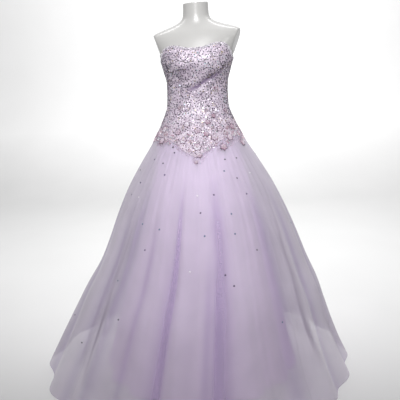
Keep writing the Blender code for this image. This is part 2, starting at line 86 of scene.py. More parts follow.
class Finish:
    """A Principled material that is built node by node. Its patterns read the place on the piece, or
    the UV map that runs along the cloth."""

    def __init__(self, name, colour, roughness, along_cloth=False, **even):
        self.made = bpy.data.materials.new(name)
        self.made.use_nodes = True
        self.made.diffuse_color = (*colour, 1.0)
        self.give(Base_Color=(*colour, 1.0), Roughness=roughness, **even)
        if along_cloth:
            self.place = self.node("ShaderNodeUVMap", {}, "UV", uv_map="cloth")
        else:
            self.place = self.node("ShaderNodeTexCoord", {}, "Object")

    def node(self, kind, inputs, output, **settings):
        """The output of a new node."""
        return add_node(self.made.node_tree, kind, inputs, settings).outputs[output]

    def give(self, **inputs):
        """Sets the shader's own inputs, each to a value or to an output."""
        tree = self.made.node_tree
        named = {name.replace("_", " "): value for name, value in inputs.items()}
        wire(tree, tree.nodes["Principled BSDF"], named)

    def noise(self, scale, detail=2.0):
        """A soft noise over the piece."""
        inputs = {"Vector": self.place, "Scale": scale, "Detail": detail}
        return self.node("ShaderNodeTexNoise", inputs, "Fac")

    def attribute(self, name):
        """A value that the mesh carries."""
        return self.node("ShaderNodeAttribute", {}, "Fac", attribute_name=name)

    def bands(self, source, stops, interpolation="LINEAR"):
        """A colour picked by a value, from (place, colour) stops."""
        ramp = add_node(self.made.node_tree, "ShaderNodeValToRGB", {"Fac": source}, {})
        band = ramp.color_ramp
        band.interpolation = interpolation
        while len(band.elements) < len(stops):
            band.elements.new(0.5)
        for element, (place, colour) in zip(band.elements, stops):
            element.position = place
            element.color = (*colour, 1.0)
        return ramp.outputs["Color"]

    def mix(self, share, first, second, blend="MIX"):
        """Two colours, mixed or multiplied by a share."""
        inputs = {0: share, 6: first, 7: second}
        return self.node("ShaderNodeMix", inputs, 2, data_type="RGBA", blend_type=blend)

    def spread(self, source, low, high, top=1.0):
        """A value from 0 to a top, brought between two others."""
        inputs = {"Value": source, "From Max": top, "To Min": low, "To Max": high}
        return self.node("ShaderNodeMapRange", inputs, "Result")

    def bump(self, source, strength, distance):
        """Gives the shader a fine relief."""
        inputs = {"Height": source, "Strength": strength, "Distance": distance}
        self.give(Normal=self.node("ShaderNodeBump", inputs, "Normal"))


def link_object(name, data, *materials):
    """A new object in the scene."""
    made = bpy.data.objects.new(name, data)
    for material in materials:
        data.materials.append(material)
    bpy.context.scene.collection.objects.link(made)
    return made


def mesh_of(name, points, faces, sharp=None):
    """A mesh of points and faces: flat, or smooth but for edges sharper than some degrees."""
    mesh = bpy.data.meshes.new(name)
    mesh.from_pydata(np.asarray(points).reshape(-1, 3).tolist(), [], faces)
    if sharp:
        mesh.shade_smooth()
        mesh.set_sharp_from_angle(angle=math.radians(sharp))
    return mesh


def floor_paint():
    """Pale painted floor with a faint mottle, which grows lighter up the backdrop."""
    paint = Finish("studio_white", (0.88, 0.88, 0.88), 0.7)
    mottle = paint.bands(paint.noise(1.5), [(0.3, (0.84,) * 3), (0.7, (0.87,) * 3)])
    height = paint.node("ShaderNodeSeparateXYZ", {"Vector": paint.place}, "Z")
    inputs = {0: mottle, "Scale": paint.spread(height, FLOOR_SHADE, 1.0, FLOOR_SHADE_TOP)}
    paint.give(Base_Color=paint.node("ShaderNodeVectorMath", inputs, "Vector", operation="SCALE"))
    return paint.made


def build_backdrop():
    """The floor and its bend, as one strip."""
    profile = [(FLOOR_FRONT, 0.0), (FLOOR_BACK, 0.0)]
    for step in range(1, BEND_STEPS + 1):
        turn = math.pi / 2 * step / BEND_STEPS
        rise = BACKDROP_RADIUS * (1 - math.cos(turn))
        profile.append((FLOOR_BACK + BACKDROP_RADIUS * math.sin(turn), rise))
    profile.append((FLOOR_BACK + BACKDROP_RADIUS, BACKDROP_TOP))
    points = [(x, y, z) for y, z in profile for x in (-FLOOR_HALF_WIDTH, FLOOR_HALF_WIDTH)]
    faces = [(2 * i, 2 * i + 1, 2 * i + 3, 2 * i + 2) for i in range(len(profile) - 1)]
    link_object("studio_floor", mesh_of("studio_floor", points, faces, 180), floor_paint())


def add_light(kind, name, place, target, watts, **settings):
    """A light at a place, turned to a target."""
    light = bpy.data.lights.new(name, kind)
    light.energy = watts
    for key, value in settings.items():
        setattr(light, key, value)
    lamp = link_object(name, light)
    lamp.location = place
    lamp.rotation_euler = (Vector(target) - Vector(place)).to_track_quat("-Z", "Y").to_euler()


def add_camera():
    """The camera, at the photograph's angle and a little rolled, as it was held."""
    data = bpy.data.cameras.new("camera")
    data.sensor_width = SENSOR_MM
    data.lens = LENS_MM
    data.shift_x = -SHIFT_LEFT
    camera = link_object("camera", data)
    away = (CAMERA_DISTANCE * math.sin(CAMERA_TURN), -CAMERA_DISTANCE * math.cos(CAMERA_TURN))
    place = Matrix.Translation(Vector((*away, CAMERA_HEIGHT)))
    turn = Matrix.Rotation(CAMERA_TURN, 4, "Z") @ Matrix.Rotation(math.pi / 2 - CAMERA_DOWN, 4, "X")
    camera.matrix_world = place @ turn @ Matrix.Rotation(-CAMERA_ROLL, 4, "Z")
    bpy.context.scene.camera = camera


def set_world():
    """Even pale light from all round."""
    world = bpy.data.worlds.new("studio")
    world.use_nodes = True
    background = world.node_tree.nodes["Background"]
    wire(world.node_tree, background, {"Color": (1.0, 1.0, 1.0, 1.0), "Strength": WORLD_LIGHT})
    bpy.context.scene.world = world


bpy.context.scene.view_settings.view_transform = "Standard"
build_backdrop()
add_camera()
set_world()
key_beam = {"spot_size": math.radians(65), "spot_blend": 1.0, "shadow_soft_size": 0.08}
fill_beam = {"spot_size": math.radians(17), "spot_blend": 1.0, "shadow_soft_size": 0.25}
add_light("SPOT", "key_light", (0.10, -2.20, 2.55), (0.04, 0.0, 1.10), 256.0, **key_beam)
add_light("AREA", "overhead", (0.0, 0.2, 3.6), (0.0, 0.4, 0.8), 8.0, size=2.4)
add_light("AREA", "backdrop_wash", (0.0, 1.0, 3.6), (0.0, 4.6, 1.4), 200.0, size=3.0)
add_light("SPOT", "fill", (2.0, -1.6, 1.6), (0.03, 0.0, 1.15), 22.0, **fill_beam)


# The stand: a turned steel base with a socket, and the pole with the flange that carries the form.
# Brushed and lacquered steel, turned on a lathe, so its fine lines run in rings.
def brushed_steel():
    """Steel with fine turned rings and a few soft marks."""
    steel = Finish("brushed_steel", (0.55, 0.55, 0.57), 0.32, Metallic=1.0)
    radius = steel.node("ShaderNodeVectorMath", {0: steel.place}, "Value", operation="LENGTH")
    inputs = {"W": radius, "Scale": 900.0}
    rings = steel.node("ShaderNodeTexNoise", inputs, "Fac", noise_dimensions="1D")
    steel.give(Roughness=steel.spread(steel.noise(14.0), 0.24, 0.42))
    steel.bump(rings, 0.15, 0.1 * MM)
    return steel.made


stand_steel = brushed_steel()
for stand_piece in ("stand_base", "stand_pole"):
    stand_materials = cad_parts[stand_piece].data.materials
    stand_materials.clear()
    stand_materials.append(stand_steel)


# The dress form: a hollow shell of glass-fibre plastic, sprayed glossy off-white, with a flat top to
# its neck and flat clamped arm plates. It has no head, arms or legs, and leans a little.
def table(kind, *rows):
    """A list of rows whose columns have names."""
    return [kind(*row) for row in rows]


BODY = "gown_and_form"
Section = namedtuple("Section", "height half_width front back")
WAIST_HEIGHT = 1.180
FIGURE = table(
    Section,
    (0.850, 0.146, 0.104, 0.118), (0.910, 0.156, 0.108, 0.129), (0.980, 0.155, 0.105, 0.126),
    (1.050, 0.141, 0.097, 0.108), (1.120, 0.1225, 0.090, 0.091), (WAIST_HEIGHT, 0.1205, 0.088, 0.086),
    (1.242, 0.1215, 0.095, 0.091), (1.288, 0.133, 0.105, 0.097), (1.316, 0.141, 0.109, 0.099),
    (1.340, 0.148, 0.108, 0.100), (1.365, 0.164, 0.104, 0.099), (1.391, 0.178, 0.097, 0.096),
    (1.415, 0.187, 0.088, 0.091), (1.437, 0.177, 0.077, 0.083), (1.452, 0.142, 0.068, 0.075),
    (1.464, 0.104, 0.062, 0.069), (1.476, 0.075, 0.058, 0.064), (1.490, 0.058, 0.055, 0.060),
    (1.508, 0.0525, 0.053, 0.057), (1.549, 0.0510, 0.051, 0.055),
)
FORM_CUP_RISE = 0.017
CUP_SIDE = 0.058
CUP_HEIGHT = 1.316
CUP_SPREAD_SIDE = 0.050
CUP_SPREAD_UP = 0.046
CUP_VALLEY = 0.38
CUP_FADE_DEPTH = 0.06
PLATE_SIDE = 0.180
PLATE_HEIGHT = 1.443
PLATE_LEAN = 0.33
PLATE_BOTTOM = 1.357
PLATE_RELEASE = 1.6
PLATE_TURN = math.tan(math.radians(10))
TILT_START = 1.13
TILT_RISE = 0.32
TILT = math.tan(math.radians(2.6))
LEAN = 6 * MM
FORM_AROUND = 144
FORM_RING_STEP = 0.005
FORM_EDGE_ROUNDING = 2.5 * MM
NECK_RADIUS = 0.05
ROUNDING_STEPS = 4


def eased(share):
    """0 to 1 with a soft start and end."""
    held = np.clip(share, 0.0, 1.0)
    return held * held * (3 - 2 * held)


def curve_through(rows, column, place):
    """The values at some places, on a smooth curve through a table whose first column rises."""
    keys = np.array([row[0] for row in rows], float)
    values = np.array([getattr(row, column) for row in rows], float)
    order = np.arange(len(rows))
    before, after = np.maximum(order - 1, 0), np.minimum(order + 1, len(rows) - 1)
    slopes = (values[after] - values[before]) / (keys[after] - keys[before])
    at = np.clip(np.asarray(place, float), keys[0], keys[-1])
    low = np.clip(np.searchsorted(keys, at, side="right") - 1, 0, len(keys) - 2)
    step = keys[low + 1] - keys[low]
    share = (at - keys[low]) / step
    square, cube = share**2, share**3
    return (
        (2 * cube - 3 * square + 1) * values[low]
        + (cube - 2 * square + share) * step * slopes[low]
        + (3 * square - 2 * cube) * values[low + 1]
        + (cube - square) * step * slopes[low + 1]
    )


def section_point(rows, angle, height):
    """Points of a body section, each an ellipse with its own front and back depth."""
    turn = np.radians(angle)
    half_width, front, back = (
        curve_through(rows, column, height) for column in ("half_width", "front", "back")
    )
    depth = np.where(np.cos(turn) > 0, front, back)
    return np.stack([half_width * np.sin(turn), -depth * np.cos(turn), height + 0 * turn], axis=-1)


def with_cups(points, rise):
    """The points moved out with two soft bust cups, on the front only."""
    across = np.abs(points[..., 0])
    flat_top = np.exp(-((np.maximum(across - CUP_SIDE, 0) / CUP_SPREAD_SIDE) ** 2))
    valley = 1 - CUP_VALLEY * np.maximum(0.0, 1 - (across / CUP_SIDE) ** 2)
    up = np.exp(-(((points[..., 2] - CUP_HEIGHT) / CUP_SPREAD_UP) ** 2))
    on_front = (points[..., 1] < 0) & (points[..., 2] > WAIST_HEIGHT)
    share = np.where(on_front, eased(-points[..., 1] / CUP_FADE_DEPTH), 0.0)
    moved = points.copy()
    moved[..., 1] -= rise * flat_top * valley * up * share
    return moved


def cut_by_plates(points):
    """The points held inside the two arm plates."""
    limit = PLATE_SIDE - (PLATE_HEIGHT - points[..., 2]) * PLATE_LEAN
    limit = limit + points[..., 1] * PLATE_TURN
    limit = limit + np.maximum(PLATE_BOTTOM - points[..., 2], 0) * PLATE_RELEASE
    over = np.abs(points[..., 0]) - limit
    soft = FORM_EDGE_ROUNDING
    rounded = np.where(over > soft, over, np.where(over < -soft, 0.0, (over + soft) ** 2 / (4 * soft)))
    cut = points.copy()
    cut[..., 0] = np.sign(points[..., 0]) * (np.abs(points[..., 0]) - rounded)
    return cut


def tilted(points):
    """The points of sections that tilt and lean with the shoulders."""
    share = eased((points[..., 2] - TILT_START) / TILT_RISE)
    turned = points.copy()
    turned[..., 0] = points[..., 0] + LEAN * share
    turned[..., 2] = points[..., 2] + points[..., 0] * TILT * share
    return turned


def upright_figure(angle, height, cup_rise):
    """The surface of the figure before it tilts."""
    return cut_by_plates(with_cups(section_point(FIGURE, angle, height), cup_rise))


def figure_surface(angle, height):
    """The dress form's surface."""
    return tilted(upright_figure(angle, height, FORM_CUP_RISE))


def form_gloss():
    """Sprayed gloss over glass-fibre: off-white, with a faint orange peel and soft greyer patches."""
    coat = {"Coat_Weight": 0.5, "Coat_Roughness": 0.08}
    gloss = Finish("form_gloss", (0.455, 0.450, 0.443), 0.34, **coat)
    stops = [(0.3, (0.44, 0.435, 0.428)), (0.7, (0.47, 0.465, 0.457))]
    gloss.give(Base_Color=gloss.bands(gloss.noise(7.0), stops))
    gloss.bump(gloss.noise(260.0, 1.0), 0.12, 0.15 * MM)
    return gloss.made


def form_mesh():
    """The form as one smooth shell with flat ends, the rim of its neck a little rounded."""
    low, high = FIGURE[0].height, FIGURE[-1].height
    heights = np.arange(low, high - FORM_EDGE_ROUNDING, FORM_RING_STEP)
    angles = np.arange(FORM_AROUND) * 360 / FORM_AROUND
    rings = [figure_surface(*np.meshgrid(angles, heights))]
    centre = rings[0][-1].mean(axis=0)
    for step in range(ROUNDING_STEPS + 1):
        turn = math.pi / 2 * step / ROUNDING_STEPS
        level = high - FORM_EDGE_ROUNDING * (1 - math.sin(turn))
        ring = figure_surface(angles, np.full(FORM_AROUND, level))
        inwards = FORM_EDGE_ROUNDING * (1 - math.cos(turn)) / NECK_RADIUS
        ring[:, :2] += (centre[:2] - ring[:, :2]) * inwards
        rings.append(ring[None])
    points = np.concatenate(rings)
    index = np.arange(len(points) * FORM_AROUND).reshape(-1, FORM_AROUND)
    after = np.roll(index, -1, axis=1)
    sides = np.stack([index[:-1], after[:-1], after[1:], index[1:]], axis=-1).reshape(-1, 4)
    ends = [index[0, ::-1].tolist(), index[-1].tolist()]
    return mesh_of("form_shell", points, sides.tolist() + ends, 50)


form = link_object("form_shell", form_mesh(), form_gloss())
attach(form, BODY)
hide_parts("dress_form")

# The bodice: five panels of stiff satin, boned and fused, joined by princess seams over the cups and
# closed at the centre back by a zip. It is fully covered with beads, and strains round the waist.
Panel = namedtuple("Panel", "name first last columns")
Edge = namedtuple("Edge", "angle height")
Crease = namedtuple("Crease", "angle height reach slope width depth")
BODICE_WALL = 2.5 * MM
BODICE_OVER_FIGURE = BODICE_WALL + 1.2 * MM
BODICE_CUP_RISE = 0.025
SEAM_GAP = 0.3 * MM
ZIP_WIDTH = 4.0 * MM
NECKLINE = table(
    Edge, (0, 1.3705), (12, 1.374), (26, 1.385), (36, 1.386), (46, 1.378), (58, 1.360), (74, 1.338),
    (90, 1.328), (130, 1.322), (180, 1.318),
)
HIP_SEAM = table(
    Edge, (0, 0.955), (12, 0.975), (28, 1.005), (50, 1.022), (90, 1.022), (180, 1.010)
)
GOWN = table(
    Section,
    (0.000, 0.652, 0.652, 0.652), (0.090, 0.609, 0.609, 0.609), (0.180, 0.571, 0.571, 0.571),
    (0.280, 0.532, 0.532, 0.532), (0.380, 0.494, 0.494, 0.494), (0.480, 0.446, 0.446, 0.446),
    (0.580, 0.406, 0.406, 0.406), (0.680, 0.367, 0.366, 0.366), (0.760, 0.332, 0.328, 0.330),
    (0.820, 0.302, 0.294, 0.298), (0.870, 0.273, 0.262, 0.266), (0.920, 0.242, 0.227, 0.232),
    (0.960, 0.216, 0.197, 0.204), (1.000, 0.191, 0.168, 0.176), (1.040, 0.169, 0.143, 0.150),
    (1.080, 0.1495, 0.121, 0.125), (1.110, 0.1360, 0.1065, 0.1075), (1.140, 0.1275, 0.0965, 0.0960),
) + [
    Section(row.height, *(size + BODICE_OVER_FIGURE for size in row[1:]))
    for row in FIGURE
    if row.height >= WAIST_HEIGHT
]
HEM_SHIFT = 0.038
HEM_SHIFT_TOP = 0.65
BODICE_PANELS = table(
    Panel,
    ("bodice_front", -30, 30, 56),
    ("bodice_side_front_left", 30, 90, 50),
    ("bodice_back_left", 90, 180, 60),
    ("bodice_back_right", -180, -90, 60),
    ("bodice_side_front_right", -90, -30, 50),
)
BODICE_ROWS = 88
CREASE_DEEPEST = 6.0 * MM
CREASE_WAVER = 2.6 * MM
# Drag lines: middle of each, half its length, rise in metres for each degree, half width and depth
CREASES = table(
    Crease,
    (20, 1.247, 50, 0.0012, 0.0150, 6.0 * MM), (46, 1.264, 18, -0.0003, 0.0080, 3.6 * MM),
    (52, 1.286, 16, 0.0014, 0.0070, 3.0 * MM), (-22, 1.286, 22, 0.0012, 0.0110, 2.6 * MM),
    (40, 1.205, 18, 0.0010, 0.0060, 2.0 * MM), (52, 1.180, 20, 0.0005, 0.0055, 2.4 * MM),
    (46, 1.157, 17, -0.0004, 0.0060, 1.8 * MM), (-48, 1.195, 20, -0.0006, 0.0060, 2.2 * MM),
    (-56, 1.168, 18, 0.0003, 0.0055, 2.0 * MM), (-34, 1.226, 16, -0.0014, 0.0055, 1.8 * MM),
    (8, 1.190, 14, 0.0009, 0.0060, 1.4 * MM), (112, 1.176, 22, 0.0003, 0.0060, 2.2 * MM),
    (126, 1.204, 20, -0.0006, 0.0060, 1.8 * MM), (150, 1.150, 20, 0.0004, 0.0060, 2.0 * MM),
    (-116, 1.186, 20, -0.0004, 0.0060, 2.0 * MM), (-132, 1.156, 22, 0.0003, 0.0060, 2.2 * MM),
    (-152, 1.212, 18, 0.0006, 0.0060, 1.6 * MM),
)


def around(angle):
    """Angles brought between -180 and 180."""
    return (np.asarray(angle, float) + 180) % 360 - 180


def matched(angle, height):
    """Angles and heights as arrays of one shape."""
    return np.broadcast_arrays(np.asarray(angle, float), np.asarray(height, float))


def edge_height(edge, angle):
    """The height of the neckline or of the hip seam, the same on both sides."""
    return curve_through(edge, "height", np.abs(around(angle)))


def steps_at(surface, angle, height):
    """A surface's two slopes: for one degree, and for one metre of height."""
    turn, rise = 0.2, 1 * MM
    along = surface(angle + turn, height) - surface(angle - turn, height)
    up = surface(angle, height + rise) - surface(angle, height - rise)
    return along / (2 * turn), up / (2 * rise)


def lifted(surface, angle, height, distance):
    """A surface's points, moved out along its normals, and those normals."""
    out = np.cross(*steps_at(surface, angle, height))
    out = out / np.linalg.norm(out, axis=-1, keepdims=True)
    return surface(angle, height) + out * np.asarray(distance)[..., None], out


def moved_out(surface, angle, height, distance):
    """A surface's points, moved out along its normals."""
    return lifted(surface, angle, height, distance)[0]


def figure_in_cups(angle, height):
    """The figure with the bodice's own cups on it."""
    return upright_figure(angle, height, BODICE_CUP_RISE)


def plain_gown(angle, height):
    """The gown's outer face below the waist, without its folds."""
    points = section_point(GOWN, angle, height)
    points[..., 0] -= HEM_SHIFT * eased((HEM_SHIFT_TOP - height) / HEM_SHIFT_TOP)
    return points


def smooth_bodice(angle, height):
    """The bodice's outer face without its drag lines."""
    angle, height = matched(angle, height)
    above = tilted(moved_out(figure_in_cups, angle, height, BODICE_OVER_FIGURE))
    below = tilted(plain_gown(angle, height))
    return np.where((height > WAIST_HEIGHT)[..., None], above, below)


def across_crease(crease, along, height):
    """How many half widths a place lies above a drag line, which wavers a little."""
    middle = crease.height + crease.slope * along + CREASE_WAVER * np.sin(0.19 * along + crease.angle)
    return (height - middle) / crease.width


def crease_rise(angle, height):
    """How far the cloth stands up beside its drag lines, and sinks a little in them."""
    rise = np.zeros(np.broadcast(angle, height).shape)
    for crease in CREASES:
        along = around(angle - crease.angle)
        fade = eased(1 - np.abs(along) / crease.reach)
        across = across_crease(crease, along, height)
        below = 0.35 * np.exp(-(((across + 1.9) / 1.2) ** 2))
        above = 0.65 * np.exp(-(((across - 1.6) / 1.2) ** 2))
        rise += crease.depth * fade * (below + above - 0.30 * np.exp(-(across**2)))
    return rise


def crease_shade(angle, height):
    """How far a place lies down in a drag line, from 0 to 1, most of all in the deep ones: the mask of
    the painted shade on the satin there, and of where beads are left out.
    """
    shade = np.zeros(np.broadcast(angle, height).shape)
    for crease in CREASES:
        along = around(angle - crease.angle)
        across = across_crease(crease, along, height)
        fade = np.minimum(1.9 * eased(1 - np.abs(along) / crease.reach), 1.0)
        fade = fade * min(crease.depth / CREASE_DEEPEST, 1.0)
        shade = np.maximum(shade, fade * np.exp(-(((across + 0.1) / 0.85) ** 2)))
    return shade


def bodice_surface(angle, height):
    """The bodice's outer face with its drag lines."""
    return moved_out(smooth_bodice, angle, height, crease_rise(angle, height))


def cloth_grid(surface, panel, rows, top, bottom, half_gaps, crowd=1.0):
    """The angles and heights of a panel's grid, its rows running down."""
    middle = (panel.first + panel.last) / 2
    share = (np.linspace(0, 1, rows + 1) ** crowd)[:, None]
    levels = top(middle) + (bottom(middle) - top(middle)) * share
    per_degree = [
        np.linalg.norm(steps_at(surface, np.full_like(levels, side), levels)[0], axis=-1)
        for side in (panel.first, panel.last)
    ]
    first = panel.first + half_gaps[0] / per_degree[0]
    last = panel.last - half_gaps[1] / per_degree[1]
    angle = first + (last - first) * np.linspace(0, 1, panel.columns + 1)[None, :]
    return angle, top(angle) + (bottom(angle) - top(angle)) * share


def grid_faces(grid):
    """The faces of a grid of points whose rows run down."""
    columns = grid.shape[1]
    low = np.arange(grid.shape[0] * columns).reshape(-1, columns)[:-1, :-1].ravel()
    return np.stack([low, low + columns, low + columns + 1, low + 1], axis=1)


def shell_mesh(name, outer, inner):
    """A closed thin shell between two grids of points, with a UV map in metres along the cloth."""
    faces = grid_faces(outer)
    index = np.arange(outer[..., 0].size).reshape(outer.shape[:2])
    border = np.concatenate([index[0, :-1], index[:-1, -1], index[-1, :0:-1], index[:0:-1, 0]])
    after = np.roll(border, -1)
    rim = np.stack([border, after, after + index.size, border + index.size], axis=1)
    faces = np.concatenate([faces, faces[:, [0, 3, 2, 1]] + index.size, rim])
    mesh = mesh_of(name, np.stack([outer, inner]), faces.tolist(), 70)
    steps_across = np.linalg.norm(np.diff(outer, axis=1), axis=-1)
    steps_down = np.linalg.norm(np.diff(outer, axis=0), axis=-1)
    run_across = np.pad(np.cumsum(steps_across, axis=1), ((0, 0), (1, 0)))
    run_across -= run_across[:, -1:] / 2
    run_down = np.pad(np.cumsum(steps_down, axis=0), ((1, 0), (0, 0)))
    flat = np.stack([run_across, -run_down], axis=-1).reshape(-1, 2)
    corners = np.empty(len(mesh.loops), np.int32)
    mesh.loops.foreach_get("vertex_index", corners)
    cloth_map = mesh.uv_layers.new(name="cloth").data
    cloth_map.foreach_set("uv", flat[corners % len(flat)].astype(np.float32).ravel())
    return mesh


def keep_values(mesh, name, values, kind="FLOAT"):
    """Stores a value, or a direction, at each point of a mesh."""
    held = mesh.attributes.new(name, kind, "POINT").data
    held.foreach_set(
        "value" if kind == "FLOAT" else "vector", np.ascontiguousarray(values, np.float32).ravel()
    )


def declare_cloth(piece, node, outer):
    """Sets a cloth piece to ride with the gown and hides the CAD part it replaces. It works out the
    piece's widest run across, its longest run down and its area, but uses none of them."""
    across, down = np.diff(outer, axis=1), np.diff(outer, axis=0)
    width = float(np.linalg.norm(across, axis=-1).sum(axis=1).max())
    length = float(np.linalg.norm(down, axis=-1).sum(axis=0).max())
    area = float(np.linalg.norm(np.cross(down[:, :-1], across[:-1]), axis=-1).sum())
    area = min(area, width * length)
    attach(piece, BODY)
    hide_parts(node)


def beaded_ground():
    """Lilac-pink satin under the beads: a fine weave with a soft sheen, and painted shade in its drag
    lines.
    """
    satin = Finish("beaded_ground", (0.60, 0.50, 0.60), 0.42, Sheen_Weight=0.25)
    stops = [(0.30, (0.44, 0.36, 0.46)), (0.52, (0.62, 0.53, 0.63)), (0.75, (0.72, 0.65, 0.74))]
    tone = satin.bands(satin.noise(55.0, 4.0), stops)
    # Painted shade: the satin is multiplied darker and more violet down in the drag lines
    deep = (0.34, 0.29, 0.40, 1.0)
    satin.give(Base_Color=satin.mix(satin.attribute("painted_crease_shade"), tone, deep, "MULTIPLY"))
    inputs = {"Vector": satin.place, "Scale": 420.0}
    satin.bump(satin.node("ShaderNodeTexVoronoi", inputs, "Distance"), 0.5, 0.6 * MM)
    return satin.made


def neck_edge(angle):
    """The bodice's upper edge."""
    return edge_height(NECKLINE, angle)


def bodice_bottom(angle):
    """The bodice's lower edge, just over the hip seam."""
    return edge_height(HIP_SEAM, angle) + SEAM_GAP / 2


def bodice_grid(panel):
    """A bodice panel's grid, which leaves room for the zip at the centre back."""
    half_gaps = [
        ZIP_WIDTH / 2 + SEAM_GAP if abs(side) == 180 else SEAM_GAP / 2
        for side in (panel.first, panel.last)
    ]
    return cloth_grid(smooth_bodice, panel, BODICE_ROWS, neck_edge, bodice_bottom, half_gaps)


ground = beaded_ground()
for panel in BODICE_PANELS:
    panel_angle, panel_height = bodice_grid(panel)
    bodice_outer = bodice_surface(panel_angle, panel_height)
    bodice_inner = moved_out(smooth_bodice, panel_angle, panel_height, -BODICE_WALL)
    bodice_mesh = shell_mesh(panel.name, bodice_outer, bodice_inner)
    # How far each point lies in a drag line, for the painted shade on the satin
    keep_values(bodice_mesh, "painted_crease_shade", np.tile(crease_shade(panel_angle, panel_height).ravel(), 2))
    bodice_piece = link_object(f"cloth_{panel.name}", bodice_mesh, ground)
    declare_cloth(
        bodice_piece, panel.name, bodice_outer
    )

# The beadwork, sewn by hand over the whole bodice: cupped sequins and small glass beads that nearly
# cover the satin, scrolls of smoke-grey bugle beads, and three rows of silver beads at the neckline.
Scroll = namedtuple("Scroll", "angle height heading length curl")
SEQUIN_RADIUS = 2.1 * MM
SEQUIN_CUP = 0.6 * MM
SEQUIN_SPACING = 3.7 * MM
SEQUIN_LIFT = 0.35 * MM
SEED_RADIUS = 1.05 * MM
SEED_SPACING = 5.0 * MM
SEED_LIFT = 1.3 * MM
SMOKE_RADIUS = 2.6 * MM
SMOKE_TABLE = 1.7 * MM
SMOKE_DEPTH = 1.5 * MM
SMOKE_SPACING = 8.4 * MM
SMOKE_LIFT = 1.1 * MM
SMOKE_FADE = 0.075
SMOKE_LEAST = 0.12
THINNED_IN_CREASE = 0.8
BUGLE_LENGTH = 4.6 * MM
BUGLE_RADIUS = 0.85 * MM
BUGLE_PITCH = 5.4 * MM
BUGLE_LIFT = 1.7 * MM
SCROLL_EDGE = 13 * MM
SCROLL_FOOT = 4 * MM
BAND_DROPS = (1.8 * MM, 5.0 * MM, 8.2 * MM)
BAND_BEAD_RADIUS = 1.6 * MM
BAND_PITCH = 3.5 * MM
BAND_END = 178.8
# Where each scroll starts, the way it heads (degrees, 0 to the wearer's left), length, and its curl
SCROLLS = table(
    Scroll,
    (6, 1.352, -60, 0.105, 9), (24, 1.366, -95, 0.120, -8), (44, 1.352, -110, 0.115, 9),
    (66, 1.334, -80, 0.100, -9), (84, 1.318, -100, 0.110, 8), (12, 1.290, 20, 0.100, -10),
    (34, 1.296, -30, 0.105, 10), (58, 1.280, -60, 0.105, -10), (78, 1.262, -120, 0.100, 10),
    (4, 1.236, -30, 0.110, 9), (28, 1.226, -80, 0.105, -10), (52, 1.214, -50, 0.095, 11),
    (80, 1.196, -80, 0.100, -10), (10, 1.172, -100, 0.100, 10), (34, 1.158, -50, 0.090, -11),
    (60, 1.144, -90, 0.095, 10), (84, 1.122, -70, 0.080, -11), (104, 1.306, -90, 0.115, 9),
    (126, 1.296, -70, 0.110, -9), (150, 1.300, -100, 0.120, 8), (168, 1.270, -90, 0.110, -8),
    (110, 1.214, -60, 0.100, -10), (134, 1.206, -100, 0.105, 10), (158, 1.200, -70, 0.100, -10),
    (106, 1.130, -100, 0.080, 11), (130, 1.124, -60, 0.080, -11), (154, 1.118, -90, 0.085, 10),
)


class SewnTree:
    """A Geometry Nodes tree that is built node by node, with its inputs named."""

    def __init__(self, name, **inputs):
        self.tree = bpy.data.node_groups.new(name, "GeometryNodeTree")
        face = self.tree.interface
        face.new_socket("Geometry", in_out="INPUT", socket_type="NodeSocketGeometry")
        for label, kind in inputs.items():
            face.new_socket(label, in_out="INPUT", socket_type=f"NodeSocket{kind}")
        face.new_socket("Geometry", in_out="OUTPUT", socket_type="NodeSocketGeometry")
        self.given = self.node("NodeGroupInput", {})

    def node(self, kind, inputs, **settings):
        """The outputs of a new node."""
        return add_node(self.tree, kind, inputs, settings).outputs

    def random(self, low, high, seed_step):
        """A random number, or a random turn, for each instance, from the tree's own seed."""
        kind, first, output = ("FLOAT_VECTOR", 0, 0) if isinstance(low, tuple) else ("FLOAT", 2, 1)
        seed = self.node("ShaderNodeMath", {0: self.given["Seed"], 1: seed_step}, operation="ADD")
        inputs = {first: low, first + 1: high, "Seed": seed[0]}
        return self.node("FunctionNodeRandomValue", inputs, data_type=kind)[output]

    def read(self, name, kind="FLOAT"):
        """What the mesh carries at each of its points."""
        inputs = {"Name": name}
        return self.node("GeometryNodeInputNamedAttribute", inputs, data_type=kind)["Attribute"]

    def finish(self, shape, points, turn, size):
        """Sets a shape on the points, tints each one, makes them real and gives the material."""
        made = self.node(*shape)["Mesh"]
        inputs = {"Points": points, "Instance": made, "Rotation": turn, "Scale": size}
        instances = self.node("GeometryNodeInstanceOnPoints", inputs)["Instances"]
        tint = {"Geometry": instances, "Name": "tint", "Value": self.random(0.0, 1.0, 7)}
        tinted_ones = self.node(
            "GeometryNodeStoreNamedAttribute", tint, data_type="FLOAT", domain="INSTANCE"
        )
        real = self.node("GeometryNodeRealizeInstances", {"Geometry": tinted_ones["Geometry"]})
        dress = {"Geometry": real["Geometry"], "Material": self.given["Material"]}
        dressed = self.node("GeometryNodeSetMaterial", dress)
        self.node("NodeGroupOutput", {"Geometry": dressed["Geometry"]})
        return self.tree


def scatter_tree(name, shape, tilt):
    """A tree that scatters a shape evenly over faces, each one spun and a little tilted."""
    made = SewnTree(name, Spacing="Float", Most="Float", Seed="Int", Material="Material")
    inputs = {
        "Mesh": made.given["Geometry"],
        "Distance Min": made.given["Spacing"],
        "Density Max": made.given["Most"],
        "Density Factor": made.read("cover"),
        "Seed": made.given["Seed"],
    }
    spots = made.node("GeometryNodeDistributePointsOnFaces", inputs, distribute_method="POISSON")
    spin = made.random((-tilt, -tilt, 0.0), (tilt, tilt, math.tau), 1)
    inputs = {"Rotation": spots["Rotation"], "Rotate By": spin}
    turn = made.node("FunctionNodeRotateRotation", inputs, rotation_space="LOCAL")["Rotation"]
    return made.finish(shape, spots["Points"], turn, made.random(0.85, 1.1, 3))


